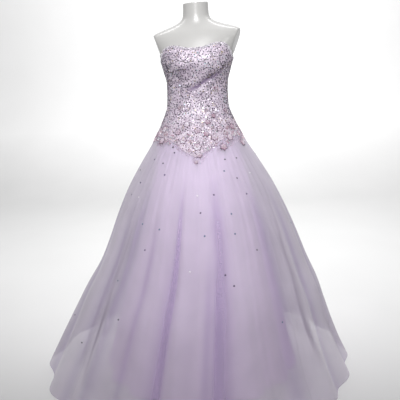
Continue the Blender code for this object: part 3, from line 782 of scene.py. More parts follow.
def threaded_tree(name, shape):
    """A tree that sets a shape on each point, with its Z along axis, its X along side, and its size."""
    made = SewnTree(name, Seed="Int", Material="Material")
    points = made.node("GeometryNodeMeshToPoints", {"Mesh": made.given["Geometry"]})["Points"]
    inputs = {0: made.read("axis", "FLOAT_VECTOR"), 1: made.read("side", "FLOAT_VECTOR")}
    axes = {"primary_axis": "Z", "secondary_axis": "X"}
    turn = made.node("FunctionNodeAxesToRotation", inputs, **axes)["Rotation"]
    return made.finish(shape, points, turn, made.read("size"))


def cone(sides, low, high, depth):
    """A shape for a tree: a low cone, such as a cupped sequin or a cut stone."""
    sizes = {"Vertices": sides, "Radius Top": high, "Radius Bottom": low, "Depth": depth}
    return "GeometryNodeMeshCone", sizes


def ball(segments, rings, radius):
    """A shape for a tree: a small round bead."""
    return "GeometryNodeMeshUVSphere", {"Segments": segments, "Rings": rings, "Radius": radius}


def sew(name, slot, tree, host_mesh, material, **values):
    """Runs a tree on a mesh once, and keeps the result as a plain piece that goes with the gown."""
    host = link_object(f"{name}_host", host_mesh)
    modifier = host.modifiers.new("sewn", "NODES")
    modifier.node_group = tree
    values["Material"] = material
    for item in tree.interface.items_tree:
        if item.item_type == "SOCKET" and item.in_out == "INPUT" and item.name in values:
            modifier[item.identifier] = values[item.name]
    depsgraph = bpy.context.evaluated_depsgraph_get()
    mesh = bpy.data.meshes.new_from_object(host.evaluated_get(depsgraph), depsgraph=depsgraph)
    bpy.data.objects.remove(host)
    bpy.data.meshes.remove(host_mesh)
    mesh.materials.clear()
    mesh.polygons.foreach_set("material_index", np.zeros(len(mesh.polygons), np.int32))
    for old in ("axis", "side", "size", "cover"):
        if old in mesh.attributes:
            mesh.attributes.remove(mesh.attributes[old])
    piece = link_object(name, mesh, material)
    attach(piece, BODY)


def thread(name, slot, shape, runs, material, seed):
    """Threads a shape on runs of places. Each run gives its places, and the axis, side and size of
    the shape there, for each place or one for all."""
    mesh = mesh_of("thread_points", np.concatenate([run[0] for run in runs]), [])
    for number, label in enumerate(("axis", "side"), 1):
        turns = [np.broadcast_to(run[number], run[0].shape) for run in runs]
        keep_values(mesh, label, np.concatenate(turns), "FLOAT_VECTOR")
    keep_values(mesh, "size", np.concatenate([np.broadcast_to(run[3], len(run[0])) for run in runs]))
    sew(name, slot, threaded_tree(name, shape), mesh, material, Seed=seed)


def scatter(name, slot, tree, outer, cover, spacing, material, seed):
    """Scatters a tree's shape over the outer face of a panel, as thickly as cover says."""
    mesh = mesh_of("scatter_face", outer, grid_faces(outer).tolist())
    keep_values(mesh, "cover", cover)
    most = 1.6 / spacing**2
    sew(name, slot, tree, mesh, material, Spacing=spacing, Most=most, Seed=seed)


def tinted(name, metallic, roughness, coat, *stops):
    """Foil, glass or crystal whose colour is picked for each bead by its own tint."""
    bead = Finish(name, stops[0][1], roughness, Metallic=metallic, Coat_Weight=coat)
    bead.give(Base_Color=bead.bands(bead.attribute("tint"), stops, "CONSTANT"))
    bead.give(Roughness=bead.spread(bead.noise(1200.0), roughness * 0.7, roughness * 1.4))
    return bead.made


def run_direction(places):
    """The direction from each place of a run to the next."""
    along = np.gradient(places, axis=0)
    return along / np.linalg.norm(along, axis=-1, keepdims=True)


def scroll_run(scroll, mirror):
    """One scroll's angles and heights, curling in more and more towards its end."""
    along, up = steps_at(smooth_bodice, np.array([scroll.angle]), np.array([scroll.height]))
    run = np.arange(int(scroll.length / BUGLE_PITCH)) * BUGLE_PITCH
    heading = np.radians(scroll.heading + scroll.curl * 30 * (run / scroll.length) ** 2)
    angle = scroll.angle + np.cumsum(np.cos(heading)) * BUGLE_PITCH / np.linalg.norm(along)
    height = scroll.height + np.cumsum(np.sin(heading)) * BUGLE_PITCH / np.linalg.norm(up)
    inside = (height < neck_edge(angle) - SCROLL_EDGE) & (height > bodice_bottom(angle) + SCROLL_FOOT)
    inside &= (angle < 177) & (angle > 1)
    return angle[inside] * mirror, height[inside]


def even_run(surface, edge, start, end, pitch):
    """Angles spaced evenly by length along an edge of a surface."""
    fine = np.linspace(start, end, 1600)
    steps = np.linalg.norm(np.diff(surface(fine, edge(fine)), axis=0), axis=-1)
    run = np.concatenate([[0.0], np.cumsum(steps)])
    return np.interp(np.arange(pitch / 2, run[-1], pitch), run, fine)


sequin_foil = tinted(
    "sequin_foil", 0.3, 0.28, 0.0,
    (0.00, (0.72, 0.63, 0.73)), (0.34, (0.82, 0.78, 0.83)), (0.48, (0.68, 0.57, 0.68)),
    (0.72, (0.50, 0.45, 0.54)), (0.84, (0.12, 0.10, 0.14)), (0.95, (0.30, 0.50, 0.54)),
    (0.975, (0.66, 0.54, 0.36)),
)
seed_glass = tinted(
    "seed_glass", 0.1, 0.16, 0.6,
    (0.00, (0.78, 0.71, 0.79)), (0.36, (0.66, 0.55, 0.66)), (0.62, (0.42, 0.39, 0.46)),
    (0.82, (0.10, 0.09, 0.12)),
)
silver_glass = tinted(
    "silver_glass", 0.1, 0.2, 0.3,
    (0.00, (0.84, 0.81, 0.86)), (0.40, (0.70, 0.66, 0.73)), (0.66, (0.90, 0.89, 0.92)),
    (0.86, (0.32, 0.29, 0.35)),
)
smoke_crystal = tinted(
    "smoke_crystal", 0.4, 0.18, 0.4,
    (0.00, (0.06, 0.05, 0.08)), (0.46, (0.14, 0.11, 0.17)), (0.82, (0.70, 0.68, 0.74)),
    (0.86, (0.10, 0.13, 0.16)), (0.95, (0.40, 0.33, 0.16)),
)
sequin_tree = scatter_tree("sequins", cone(6, SEQUIN_RADIUS, 0.0, SEQUIN_CUP), math.radians(13))
seed_tree = scatter_tree("seed_beads", ball(5, 3, SEED_RADIUS), math.radians(60))
smoke_shape = cone(6, SMOKE_RADIUS, SMOKE_TABLE, SMOKE_DEPTH)
smoke_tree = scatter_tree("smoke_stones", smoke_shape, math.radians(8))

for seed, panel in enumerate(BODICE_PANELS, 1):
    panel_angle, panel_height = bodice_grid(panel)
    bead_cover = 1 - THINNED_IN_CREASE * crease_shade(panel_angle, panel_height)
    over_seam = (panel_height - edge_height(HIP_SEAM, panel_angle)) / SMOKE_FADE
    smoke_cover = bead_cover * (SMOKE_LEAST + (1 - SMOKE_LEAST) * eased(over_seam))
    for label, tree, lift, spacing, finish, cover in (
        ("sequins", sequin_tree, SEQUIN_LIFT, SEQUIN_SPACING, sequin_foil, bead_cover),
        ("seed_beads", seed_tree, SEED_LIFT, SEED_SPACING, seed_glass, bead_cover),
        ("smoke_stones", smoke_tree, SMOKE_LIFT, SMOKE_SPACING, smoke_crystal, smoke_cover),
    ):
        face = moved_out(bodice_surface, panel_angle, panel_height, lift)
        name = f"{label}_{panel.name}"
        scatter(name, "beaded_bodice", tree, face, cover, spacing, finish, seed)

scroll_runs = []
for scroll in SCROLLS:
    for mirror in (1, -1):
        run_angle, run_height = scroll_run(scroll, mirror)
        if len(run_angle) > 2:
            places, out = lifted(bodice_surface, run_angle, run_height, BUGLE_LIFT)
            scroll_runs.append((places, run_direction(places), out, 1.0))
bugle_shape = cone(6, BUGLE_RADIUS, BUGLE_RADIUS, BUGLE_LENGTH)
thread("bead_scrolls", "beaded_bodice", bugle_shape, scroll_runs, smoke_crystal, 11)

band_runs = []
for drop in BAND_DROPS:
    band_angle = even_run(
        smooth_bodice, lambda angle: neck_edge(angle) - drop, -BAND_END, BAND_END, BAND_PITCH
    )
    band_height = neck_edge(band_angle) - drop
    places, out = lifted(bodice_surface, band_angle, band_height, BAND_BEAD_RADIUS + 0.2 * MM)
    band_runs.append((places, out, run_direction(places), BAND_BEAD_RADIUS / MM))
round_bead = ball(7, 4, 1 * MM)
thread("neckline_beads", "beaded_bodice", round_bead, band_runs, silver_glass, 12)

# The lining skirt: four flared gores of lilac satin that hang from the hip seam inside the nets.
# The hem is turned up and stitched all round.
LayerRow = namedtuple("LayerRow", "drop under lining")
HEM_HEIGHT = 4 * MM
STITCH_HEIGHT = 34 * MM
STITCH_PITCH = 7 * MM
STITCH_LENGTH = 3.5 * MM
STITCH_RADIUS = 0.35 * MM
NET_WALL = 1.0 * MM
LINING_WALL = 1.2 * MM
INNER_SEAM_DROP = 0.5 * MM
INNER_FOLD_COUNT = 15
INNER_FOLD_DEPTH = 0.014
SKIRT_ROW_CROWDING = 1.6
INNER_LAYERS = table(
    LayerRow, (0.00, 1.000, 1.00), (0.03, 0.965, 0.92), (0.08, 0.910, 0.80), (0.20, 0.865, 0.69),
    (0.40, 0.840, 0.65), (0.99, 0.830, 0.64),
)
SKIRT_GORES = table(
    Panel, ("front", -48, 48, 144), ("left", 48, 144, 120), ("back", 144, 216, 96),
    ("right", 216, 312, 120),
)
LINING_ROWS = 36


def inner_surface(layer, inset, phase):
    """The outer face of a skirt inside the outer net: close under it at the hip seam, then further in,
    in gathers that deepen towards the hem."""

    def surface(angle, height):
        angle, height = matched(angle, height)
        drop = edge_height(HIP_SEAM, angle) - height
        points = moved_out(plain_gown, angle, height, -inset)
        size = np.linalg.norm(points[..., :2], axis=-1)
        turn = np.radians(angle)
        gathers = -np.cos(turn * INNER_FOLD_COUNT)
        small = 0.22 * np.sin(turn * 53 + phase) + 0.16 * np.sin(turn * 37 + 2.1 * phase)
        wider = size * curve_through(INNER_LAYERS, layer, drop)
        wider = wider + INNER_FOLD_DEPTH * eased(drop) * (gathers + small)
        points[..., :2] *= (wider / size)[..., None]
        return points

    return surface


def lining_satin():
    """Lilac satin: a smooth warp face with fine lengthwise slubs and a silky sheen."""
    satin = Finish("lining_satin", (0.84, 0.65, 0.92), 0.40, True, Sheen_Weight=0.3)
    inputs = {"Vector": satin.place, "Scale": (1.0, 0.05, 1.0)}
    satin.place = satin.node("ShaderNodeMapping", inputs, "Vector")
    slubs = satin.noise(900.0)
    stops = [(0.3, (0.82, 0.63, 0.91)), (0.7, (0.88, 0.70, 0.95))]
    satin.give(Base_Color=satin.bands(slubs, stops))
    satin.bump(slubs, 0.25, 0.1 * MM)
    return satin.made


def build_skirt(layer, surface, material, rows, wall, drop):
    """One skirt's four gores, from just under the hip seam to just off the floor."""
    for gore in SKIRT_GORES:
        angle, height = cloth_grid(
            surface,
            gore,
            rows,
            lambda at: edge_height(HIP_SEAM, at) - drop,
            lambda at: HEM_HEIGHT + 0 * np.asarray(at, float),
            (SEAM_GAP / 2,) * 2,
            SKIRT_ROW_CROWDING,
        )
        outer = surface(angle, height)
        node = f"{layer}_{gore.name}"
        mesh = shell_mesh(node, outer, moved_out(surface, angle, height, -wall))
        if layer == "net_over":
            keep_values(mesh, "doubled", np.tile(doubled_share(angle, height).ravel(), 2))
        # Marks each net's inner wall, which its material darkens with painted shade
        if layer != "lining":
            keep_values(mesh, "inside", np.repeat([0, 1], angle.size))
        piece = link_object(f"cloth_{node}", mesh, material)
        # Net scatters light onwards and casts almost no shadow
        piece.visible_shadow = layer == "lining"
        declare_cloth(piece, node, outer)


def stitch_line(angle):
    """The height of the hem's stitches."""
    return STITCH_HEIGHT + 0 * angle


lining_surface = inner_surface("lining", 2 * (NET_WALL + SEAM_GAP), 0.7)
build_skirt(
    "lining",
    lining_surface,
    lining_satin(),
    LINING_ROWS,
    LINING_WALL,
    INNER_SEAM_DROP,
)
stitch_angle = even_run(lining_surface, stitch_line, -47.9, 311.9, STITCH_PITCH)
places, out = lifted(lining_surface, stitch_angle, stitch_line(stitch_angle), 0.1 * MM)
hem_thread = tinted("hem_thread", 0.0, 0.5, 0.0, (0.0, (0.60, 0.47, 0.68)), (0.5, (0.54, 0.42, 0.62)))
stitch_shape = cone(4, STITCH_RADIUS, STITCH_RADIUS, STITCH_LENGTH)
stitch_runs = [(places, run_direction(places), out, 1.0)]
thread("hem_stitches", "lining", stitch_shape, stitch_runs, hem_thread, 16)

# The two net skirts: sheer lilac-grey tulle, each in four full gores gathered into the hip seam. The
# lower one only holds the upper one out. The upper one falls in long folds to a raw cut hem.
Fold = namedtuple("Fold", "angle spread start depth")
OUTER_FOLDS = table(
    Fold,
    (-4, 8, 0.93, 0.028), (28, 11, 0.96, 0.026), (57, 9, 0.74, 0.026), (75, 11, 0.96, 0.022),
    (93, 9, 0.86, 0.024), (111, 10, 0.74, 0.024), (130, 12, 0.93, 0.028), (155, 11, 0.78, 0.026),
    (173, 9, 0.95, 0.028), (189, 8, 0.82, 0.024), (206, 9, 0.93, 0.028), (228, 11, 0.72, 0.026),
    (251, 12, 0.88, 0.022), (274, 12, 0.54, 0.036), (298, 12, 0.90, 0.026), (322, 9, 0.76, 0.026),
    (339, 8, 0.88, 0.024),
)
UNDER_NET_ROWS = 40
OUTER_NET_ROWS = 72
NET_COLOUR = (0.60, 0.54, 0.65)
DOUBLED_COLOUR = (0.38, 0.29, 0.50, 1.0)
# Painted shade: the colour that the net's inner wall is multiplied by
NET_INSIDE_PAINTED_SHADE = (0.50, 0.48, 0.52, 1.0)
SMALL_GATHER = 1.2 * MM
# Where the net doubles over itself: place, half width, the height where it starts, and how much
Overlap = namedtuple("Overlap", "angle spread start share")
OVERLAPS = table(
    Overlap,
    (-8.5, 1.6, 0.90, 1.0), (-11, 3.0, 0.70, 0.5), (8, 2.0, 0.66, 0.5), (15, 4.0, 0.93, 0.8),
    (12, 1.4, 0.62, 0.6), (44, 4.5, 0.90, 0.6), (-24, 2.2, 0.80, 0.5), (-38, 4.0, 0.90, 0.6),
    (66, 3.0, 0.86, 0.7), (86, 4.0, 0.92, 0.6), (102, 2.5, 0.80, 0.8), (121, 3.5, 0.90, 0.6),
    (143, 2.5, 0.86, 0.9), (165, 3.5, 0.92, 0.7), (181, 2.0, 0.84, 1.0), (198, 3.5, 0.90, 0.6),
    (217, 3.0, 0.86, 0.8), (240, 4.0, 0.90, 0.6), (262, 3.0, 0.82, 0.8), (285, 3.5, 0.88, 0.6),
    (310, 3.0, 0.84, 0.5),
)


def fold_rise(angle, height):
    """How far the outer skirt's folds stand out."""
    rise = np.zeros(np.broadcast(angle, height).shape)
    for fold in OUTER_FOLDS:
        away = np.abs(around(angle - fold.angle)) / fold.spread
        ridge = np.where(away < 1, 0.5 + 0.5 * np.cos(np.pi * np.minimum(away, 1)), 0.0)
        rise += fold.depth * ridge * eased((fold.start - height) / fold.start) ** 0.8
    return rise


def doubled_share(angle, height):
    """How much of the net lies double at a place."""
    share = np.zeros(np.broadcast(angle, height).shape)
    for overlap in OVERLAPS:
        away = around(angle - overlap.angle + 2.5 * (overlap.start - height)) / overlap.spread
        share += overlap.share * np.exp(-(away**2)) * eased((overlap.start - height) / 0.25)
    return np.clip(share, 0.0, 1.0)


def small_gathers(angle, height):
    """Fine uneven gathers that start at the hip seam and fade out half way down."""
    turn = np.radians(angle)
    drop = edge_height(HIP_SEAM, angle) - height
    wave = 0.5 * np.sin(turn * 61 + 1.3) + 0.3 * np.sin(turn * 43 + 0.4) + 0.2 * np.sin(turn * 97)
    return SMALL_GATHER * wave * eased(drop / 0.05) * (1 - 0.7 * eased((drop - 0.2) / 0.5))


def net_surface(angle, height, gathers):
    """The gown's outer face with the net's long folds, with or without its small gathers."""
    angle, height = matched(angle, height)
    turn = np.radians(angle)
    outwards = np.stack([np.sin(turn), -np.cos(turn), 0 * turn], axis=-1)
    rise = fold_rise(angle, height) + gathers * small_gathers(angle, height)
    return plain_gown(angle, height) + outwards * rise[..., None]


def outer_net_surface(angle, height):
    """The outer net skirt's outer face."""
    return net_surface(angle, height, 1)


def net(name, alpha):
    """Sheer nylon net: see-through, with a faint mesh in its bump and a soft sheen, deeper in colour
    where it lies double, and darker on its inner side with painted shade."""
    sheen = {"Sheen_Weight": 0.2, "Sheen_Roughness": 0.5}
    tulle = Finish(name, NET_COLOUR, 0.75, True, Alpha=alpha, **sheen)
    darker = tuple(part * 0.93 for part in NET_COLOUR)
    lighter = tuple(part * 1.05 for part in NET_COLOUR)
    tone = tulle.bands(tulle.noise(5.0), [(0.35, darker), (0.65, lighter)])
    layers = tulle.mix(tulle.attribute("doubled"), tone, DOUBLED_COLOUR)
    tulle.give(Base_Color=tulle.mix(tulle.attribute("inside"), layers, NET_INSIDE_PAINTED_SHADE, "MULTIPLY"))
    inputs = {"Vector": tulle.place, "Scale": 500.0}
    edges = {"feature": "DISTANCE_TO_EDGE"}
    tulle.bump(tulle.node("ShaderNodeTexVoronoi", inputs, "Distance", **edges), 0.02, 0.2 * MM)
    return tulle.made


build_skirt(
    "net_under",
    inner_surface("under", NET_WALL + SEAM_GAP, 2.9),
    net("under_net", 0.15),
    UNDER_NET_ROWS,
    NET_WALL,
    INNER_SEAM_DROP,
)
build_skirt(
    "net_over",
    outer_net_surface,
    net("outer_net", 0.42),
    OUTER_NET_ROWS,
    NET_WALL,
    SEAM_GAP / 2,
)

# The lace flowers: guipure of mauve and rose thread, corded round each petal's edge, cut out and sewn
# one by one over the hip seam and the lower bodice, each with a pearl and a ring of small beads.
Flower = namedtuple("Flower", "angle height radius petals turn")
FLOWERS = table(
    Flower,
    (2, 0.990, 0.019, 6, 10), (4, 0.960, 0.013, 5, 0), (1, 0.936, 0.009, 5, 20),
    (-16, 1.014, 0.016, 6, 0), (-26, 1.045, 0.014, 5, 15), (-14, 1.074, 0.013, 5, 0),
    (2, 1.050, 0.014, 5, 30), (14, 1.036, 0.013, 5, 0), (4, 1.100, 0.011, 5, 12),
    (18, 1.080, 0.012, 5, 40), (30, 1.104, 0.010, 5, 0), (24, 1.022, 0.016, 6, 25),
    (35, 1.053, 0.014, 5, 5), (33, 0.985, 0.017, 6, 30), (61, 1.056, 0.015, 5, 18),
    (47, 1.018, 0.017, 6, 0), (68, 0.990, 0.016, 5, 24), (-54, 1.054, 0.017, 6, 0),
    (-50, 1.010, 0.017, 6, 8), (60, 1.122, 0.009, 5, 14), (-78, 1.030, 0.016, 5, 0),
    (88, 1.034, 0.016, 6, 22), (-97, 0.998, 0.015, 5, 5), (108, 1.000, 0.016, 5, 30),
    (-119, 1.028, 0.016, 6, 10), (131, 1.026, 0.016, 5, 0), (-143, 1.000, 0.015, 5, 35),
    (153, 0.998, 0.015, 5, 12), (-164, 1.020, 0.015, 6, 0), (168, 1.024, 0.015, 5, 16),
)
APPLIQUE_LIFT = 0.9 * MM
PETAL_POINTS = 12
PETAL_RINGS = 12
PETAL_NOTCH = 0.40
PETAL_DOME = 2.9 * MM
PETAL_VEIN = 0.55 * MM
PETAL_CORD = 0.9 * MM
FLOWER_CUP = 0.9 * MM
LACE_THICKNESS = 0.5 * MM
PEARL_RADIUS = 2.0 * MM
PEARL_LIFT = 3.6 * MM
RING_BEADS = 9
RING_RADIUS = 4.2 * MM
RING_BEAD_RADIUS = 1.0 * MM
PEARLED_RADIUS = 0.016
UPWARDS = (0.0, 0.0, 1.0)


def dressed_surface(angle, height):
    """The gown's outer face under the flowers: the bodice, and the outer net below the hip seam."""
    return tilted(net_surface(angle, height, 0))


def on_flower(flower, reach, turn):
    """The angle and height of a place on a flower, by its distance and turn from the centre."""
    along, up = steps_at(dressed_surface, np.array([flower.angle]), np.array([flower.height]))
    angle = flower.angle + reach * np.cos(turn) / np.linalg.norm(along)
    height = flower.height + reach * np.sin(turn) / np.linalg.norm(up)
    return angle, height


def petal_lift(share, phase):
    """A petal's height over the cloth: a soft dome with a vein, and a cord round its rim."""
    tip = 0.5 + 0.5 * np.cos(phase)
    dome = PETAL_DOME * (1 - share**2) ** 0.5 * (0.45 + 0.55 * tip**0.6)
    vein = PETAL_VEIN * np.exp(-((np.sin(phase / 2) / 0.16) ** 2)) * share * (1 - share)
    cord = PETAL_CORD * np.exp(-(((share - 0.93) / 0.055) ** 2))
    cup = FLOWER_CUP * np.exp(-((share / 0.16) ** 2))
    return LACE_THICKNESS + dome - 3 * vein + cord - cup


def flower_mesh(flower, name):
    """One flower as a closed piece, which keeps how far each point is from its heart."""
    count = flower.petals * PETAL_POINTS
    index = np.arange(count)
    phase = 2 * np.pi * index / PETAL_POINTS
    turn = np.radians(flower.turn) + 2 * np.pi * index / count
    shares = np.linspace(0, 1, PETAL_RINGS + 1)[1:, None]
    notch = PETAL_NOTCH * (0.5 - 0.5 * np.cos(phase)) ** 1.6
    angle, height = on_flower(flower, flower.radius * shares * (1 - notch * shares), turn)
    top = moved_out(dressed_surface, angle, height, APPLIQUE_LIFT + petal_lift(shares, phase))
    rim = moved_out(dressed_surface, angle[-1], height[-1], APPLIQUE_LIFT)
    middle = np.array([flower.angle]), np.array([flower.height])
    heart_lift = APPLIQUE_LIFT + petal_lift(np.zeros(1), np.zeros(1))
    heart = moved_out(dressed_surface, *middle, heart_lift)
    under = moved_out(dressed_surface, *middle, APPLIQUE_LIFT)
    points = np.concatenate([top.reshape(-1, 3), rim, heart, under])
    heart_index, under_index = len(points) - 2, len(points) - 1
    faces = []
    for i in range(count):
        j = (i + 1) % count
        faces.append((heart_index, i, j))
        for low in range(0, PETAL_RINGS * count, count):
            high = low + count
            faces.append((low + i, high + i, high + j, low + j))
        faces.append((under_index, PETAL_RINGS * count + j, PETAL_RINGS * count + i))
    mesh = mesh_of(name, points, faces, 180)
    keep_values(mesh, "reach", np.concatenate([np.repeat(shares, count), np.ones(count), [0, 0]]))
    return mesh


def guipure():
    """Twisted mauve and rose thread, darkest in the corded rim and the heart of each flower: fine
    stitches in the bump, and a colour that drifts."""
    lace = Finish("guipure_lace", (0.60, 0.44, 0.56), 0.55, Sheen_Weight=0.3)
    stops = [(0.38, (0.42, 0.27, 0.34)), (0.50, (0.54, 0.45, 0.53)), (0.62, (0.72, 0.71, 0.76))]
    tone = lace.bands(lace.noise(16.0, 4.0), stops)
    stops = [(0.14, (0.50, 0.30, 0.38)), (0.40, (1.0, 0.97, 1.0)), (0.72, (0.90, 0.84, 0.90))]
    rim = lace.bands(lace.attribute("reach"), stops + [(0.88, (0.22, 0.14, 0.19))])
    lace.give(Base_Color=lace.mix(1.0, tone, rim, "MULTIPLY"))
    inputs = {"Vector": lace.place, "Scale": 350.0, "Distortion": 6.0}
    rings = {"wave_type": "RINGS", "rings_direction": "SPHERICAL"}
    lace.bump(lace.node("ShaderNodeTexWave", inputs, "Fac", **rings), 0.5, 0.3 * MM)
    return lace.made


lace = guipure()
pearl_runs = []
for number, flower in enumerate(FLOWERS, 1):
    node = f"lace_flower_{number:02d}"
    flower_piece = link_object(f"lace_{number:02d}", flower_mesh(flower, node), lace)
    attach(flower_piece, BODY)
    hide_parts(node)
    scale = flower.radius / PEARLED_RADIUS
    reach = np.concatenate([[0.0], np.full(RING_BEADS, RING_RADIUS * scale)])
    turn = np.concatenate([[0.0], np.arange(RING_BEADS) * 2 * np.pi / RING_BEADS])
    bead_angle, bead_height = on_flower(flower, reach, turn)
    places, out = lifted(dressed_surface, bead_angle, bead_height, APPLIQUE_LIFT + PEARL_LIFT)
    sizes = np.array([PEARL_RADIUS] + [RING_BEAD_RADIUS] * RING_BEADS) * scale / MM
    pearl_runs.append((places, out, UPWARDS, sizes))
pearl_glass = tinted(
    "pearl_glass", 0.15, 0.2, 0.7,
    (0.00, (0.86, 0.80, 0.86)), (0.45, (0.92, 0.88, 0.92)), (0.80, (0.72, 0.62, 0.74)),
)
thread("flower_pearls", "lace", round_bead, pearl_runs, pearl_glass, 13)

# Sprays of small mauve and smoke beads, sewn thickly round the flowers and more thinly over the hip
# seam, so that no edge of the bodice shows against the net.
SPRAY_BEAD_RADIUS = 1.25 * MM
SPRAY_SPACING = 3.0 * MM
SPRAY_LIFT = 1.5 * MM
SPRAY_TOP = 0.130
SPRAY_BOTTOM = 0.034
SPRAY_COLUMNS = 640
SPRAY_ROWS = 34


def spray_cover(angle, height):
    """How thickly the beads lie at a place: most of all in a ring round each flower."""
    along, up = steps_at(dressed_surface, angle, height)
    per_degree, per_rise = np.linalg.norm(along, axis=-1), np.linalg.norm(up, axis=-1)
    seam = height - edge_height(HIP_SEAM, angle)
    cover = 1.6 * np.exp(-(((seam + 0.001) / 0.009) ** 2))
    cover = np.maximum(cover, 0.55 * eased(seam / 0.01) * eased((0.085 - seam) / 0.04))
    for flower in FLOWERS:
        across = around(angle - flower.angle) * per_degree
        away = np.hypot(across, (height - flower.height) * per_rise)
        cover = np.maximum(cover, 1.3 * np.exp(-((away / (1.9 * flower.radius)) ** 4)))
    clumps = 0.5 + 0.5 * np.sin(angle * 0.9) * np.sin(height * 170 + angle * 0.35)
    return np.clip(cover * (0.45 + 0.8 * clumps), 0.0, 1.0)


spray_grid = cloth_grid(
    dressed_surface,
    Panel("spray", -179.9, 179.9, SPRAY_COLUMNS),
    SPRAY_ROWS,
    lambda angle: edge_height(HIP_SEAM, angle) + SPRAY_TOP,
    lambda angle: edge_height(HIP_SEAM, angle) - SPRAY_BOTTOM,
    (0.0, 0.0),
)
spray_face = moved_out(dressed_surface, *spray_grid, SPRAY_LIFT)
spray_tree = scatter_tree("sprays", ball(5, 3, SPRAY_BEAD_RADIUS), math.radians(60))
mauve_glass = tinted(
    "mauve_glass", 0.2, 0.2, 0.5,
    (0.00, (0.48, 0.33, 0.42)), (0.28, (0.66, 0.52, 0.62)), (0.50, (0.26, 0.20, 0.26)),
    (0.70, (0.78, 0.74, 0.80)), (0.86, (0.40, 0.22, 0.28)), (0.95, (0.34, 0.50, 0.52)),
)
cover = spray_cover(*spray_grid)
scatter("bead_sprays", "lace", spray_tree, spray_face, cover, SPRAY_SPACING, mauve_glass, 14)

# Rosettes of small rose and pearl beads, threaded in a spiral and sewn down between the flowers, some
# of them over the edge of the bodice.
Rosette = namedtuple("Rosette", "angle height radius")
ROSETTE_PITCH = 3.3 * MM
ROSETTE_STEP = 2.7 * MM
ROSETTE_LIFT = 2.6 * MM
ROSETTE_BEAD_RADIUS = 1.3 * MM
ROSETTES = table(
    Rosette,
    (-47, 1.036, 0.011), (-42, 1.013, 0.010), (-33, 1.028, 0.010), (-25, 1.014, 0.009),
    (-9, 1.034, 0.009), (-20, 1.060, 0.008), (-5, 1.010, 0.009), (-7, 0.978, 0.008),
    (11, 1.012, 0.008), (15, 0.982, 0.009), (9, 1.070, 0.009), (24, 1.058, 0.009),
    (42, 1.036, 0.011), (50, 1.054, 0.009), (56, 1.028, 0.011), (41, 1.002, 0.009),
    (24, 0.996, 0.008), (68, 1.024, 0.010), (75, 1.004, 0.009), (-35, 1.002, 0.008),
    (-63, 1.040, 0.011), (-61, 1.013, 0.009), (-71, 1.008, 0.009), (41, 1.210, 0.013),
    (-30, 1.140, 0.009), (18, 1.130, 0.009), (82, 1.012, 0.010), (98, 1.020, 0.011),
    (119, 1.018, 0.010), (142, 1.016, 0.010), (162, 1.012, 0.010), (-88, 1.016, 0.010),
    (-107, 1.018, 0.011), (-131, 1.014, 0.010), (-154, 1.016, 0.010), (-173, 1.012, 0.009),
)
rosette_runs = []
for rosette in ROSETTES:
    count = int(math.pi * rosette.radius**2 / (ROSETTE_PITCH * ROSETTE_STEP))
    turn = np.sqrt(4 * np.pi * ROSETTE_STEP * np.arange(count) / ROSETTE_PITCH)
    bead_angle, bead_height = on_flower(rosette, ROSETTE_PITCH * turn / (2 * np.pi), turn)
    places, out = lifted(dressed_surface, bead_angle, bead_height, ROSETTE_LIFT)
    rosette_runs.append((places, out, UPWARDS, np.linspace(0.8, 1.15, count)))
rose_glass = tinted(
    "rose_glass", 0.15, 0.2, 0.6,
    (0.00, (0.58, 0.32, 0.40)), (0.28, (0.82, 0.72, 0.80)), (0.50, (0.34, 0.15, 0.21)),
    (0.68, (0.90, 0.87, 0.91)), (0.90, (0.52, 0.66, 0.66)),
)
rosette_bead = ball(5, 3, ROSETTE_BEAD_RADIUS)
thread("bead_rosettes", "lace", rosette_bead, rosette_runs, rose_glass, 15)

# Loose cut stones, glued one by one on the outer net, thickest on the front under the hip seam.
# They are foiled crystal in violet, smoke and blue, a few of them clear.
STONE_RADIUS = 3.6 * MM
STONE_TABLE = 2.1 * MM
STONE_DEPTH = 1.6 * MM
STONE_LIFT = 0.2 * MM
# The angle and the height of each
STONES = [
    (-48, 0.94), (-34, 0.93), (-68, 0.89), (-54, 0.85), (-60, 0.80), (-48, 0.80), (-28, 0.89),
    (-36, 0.71), (-22, 0.70), (-30, 0.62), (-44, 0.49), (-80, 0.25), (-34, 0.37), (-54, 0.23),
    (4, 0.76), (6, 0.68), (26, 0.90), (36, 0.87), (30, 0.94), (44, 0.94), (52, 0.88), (40, 0.81),
    (24, 0.75), (78, 0.65), (24, 0.68), (16, 0.54), (20, 0.50), (-2, 0.56), (36, 0.61), (42, 0.34),
    (-8, 0.98), (2, 0.82), (14, 0.82), (-24, 0.97), (-28, 0.99), (92, 0.93), (104, 0.84),
    (118, 0.90), (126, 0.72), (140, 0.86), (148, 0.60), (158, 0.93), (166, 0.78), (176, 0.88),
    (188, 0.70), (196, 0.92), (206, 0.82), (214, 0.56), (222, 0.88), (236, 0.74), (246, 0.92),
    (258, 0.82), (266, 0.66), (174, 0.44), (132, 0.38), (232, 0.40), (104, 0.50), (254, 0.30),
]
crystal = tinted(
    "crystal", 0.5, 0.12, 0.6,
    (0.00, (0.06, 0.05, 0.10)), (0.35, (0.14, 0.10, 0.22)), (0.60, (0.07, 0.07, 0.09)),
    (0.78, (0.12, 0.20, 0.30)), (0.95, (0.90, 0.89, 0.93)),
)
stone_shape = cone(8, STONE_RADIUS, STONE_TABLE, STONE_DEPTH)
places, out = lifted(outer_net_surface, *np.array(STONES, float).T, STONE_LIFT)
thread("skirt_stones", "net", stone_shape, [(places, out, UPWARDS, 1.0)], crystal, 21)

# The zip at the centre back: a lilac tape with two rows of metal teeth, and a slider whose pull tab
# swings on its bridge. All of it hides from the photograph.
ZIP_TOP_DROP = 4 * MM
ZIP_SINK = 0.7 * MM
TAPE_ROWS = 60
TOOTH_SIZE = (2.2 * MM, 0.9 * MM, 1.1 * MM)
TOOTH_PITCH = 1.5 * MM
TOOTH_STAGGER = 0.45 * MM
TEETH_BOTTOM = 3 * MM
TEETH_TOP = 2 * MM
CAST_EDGE = 0.22 * MM


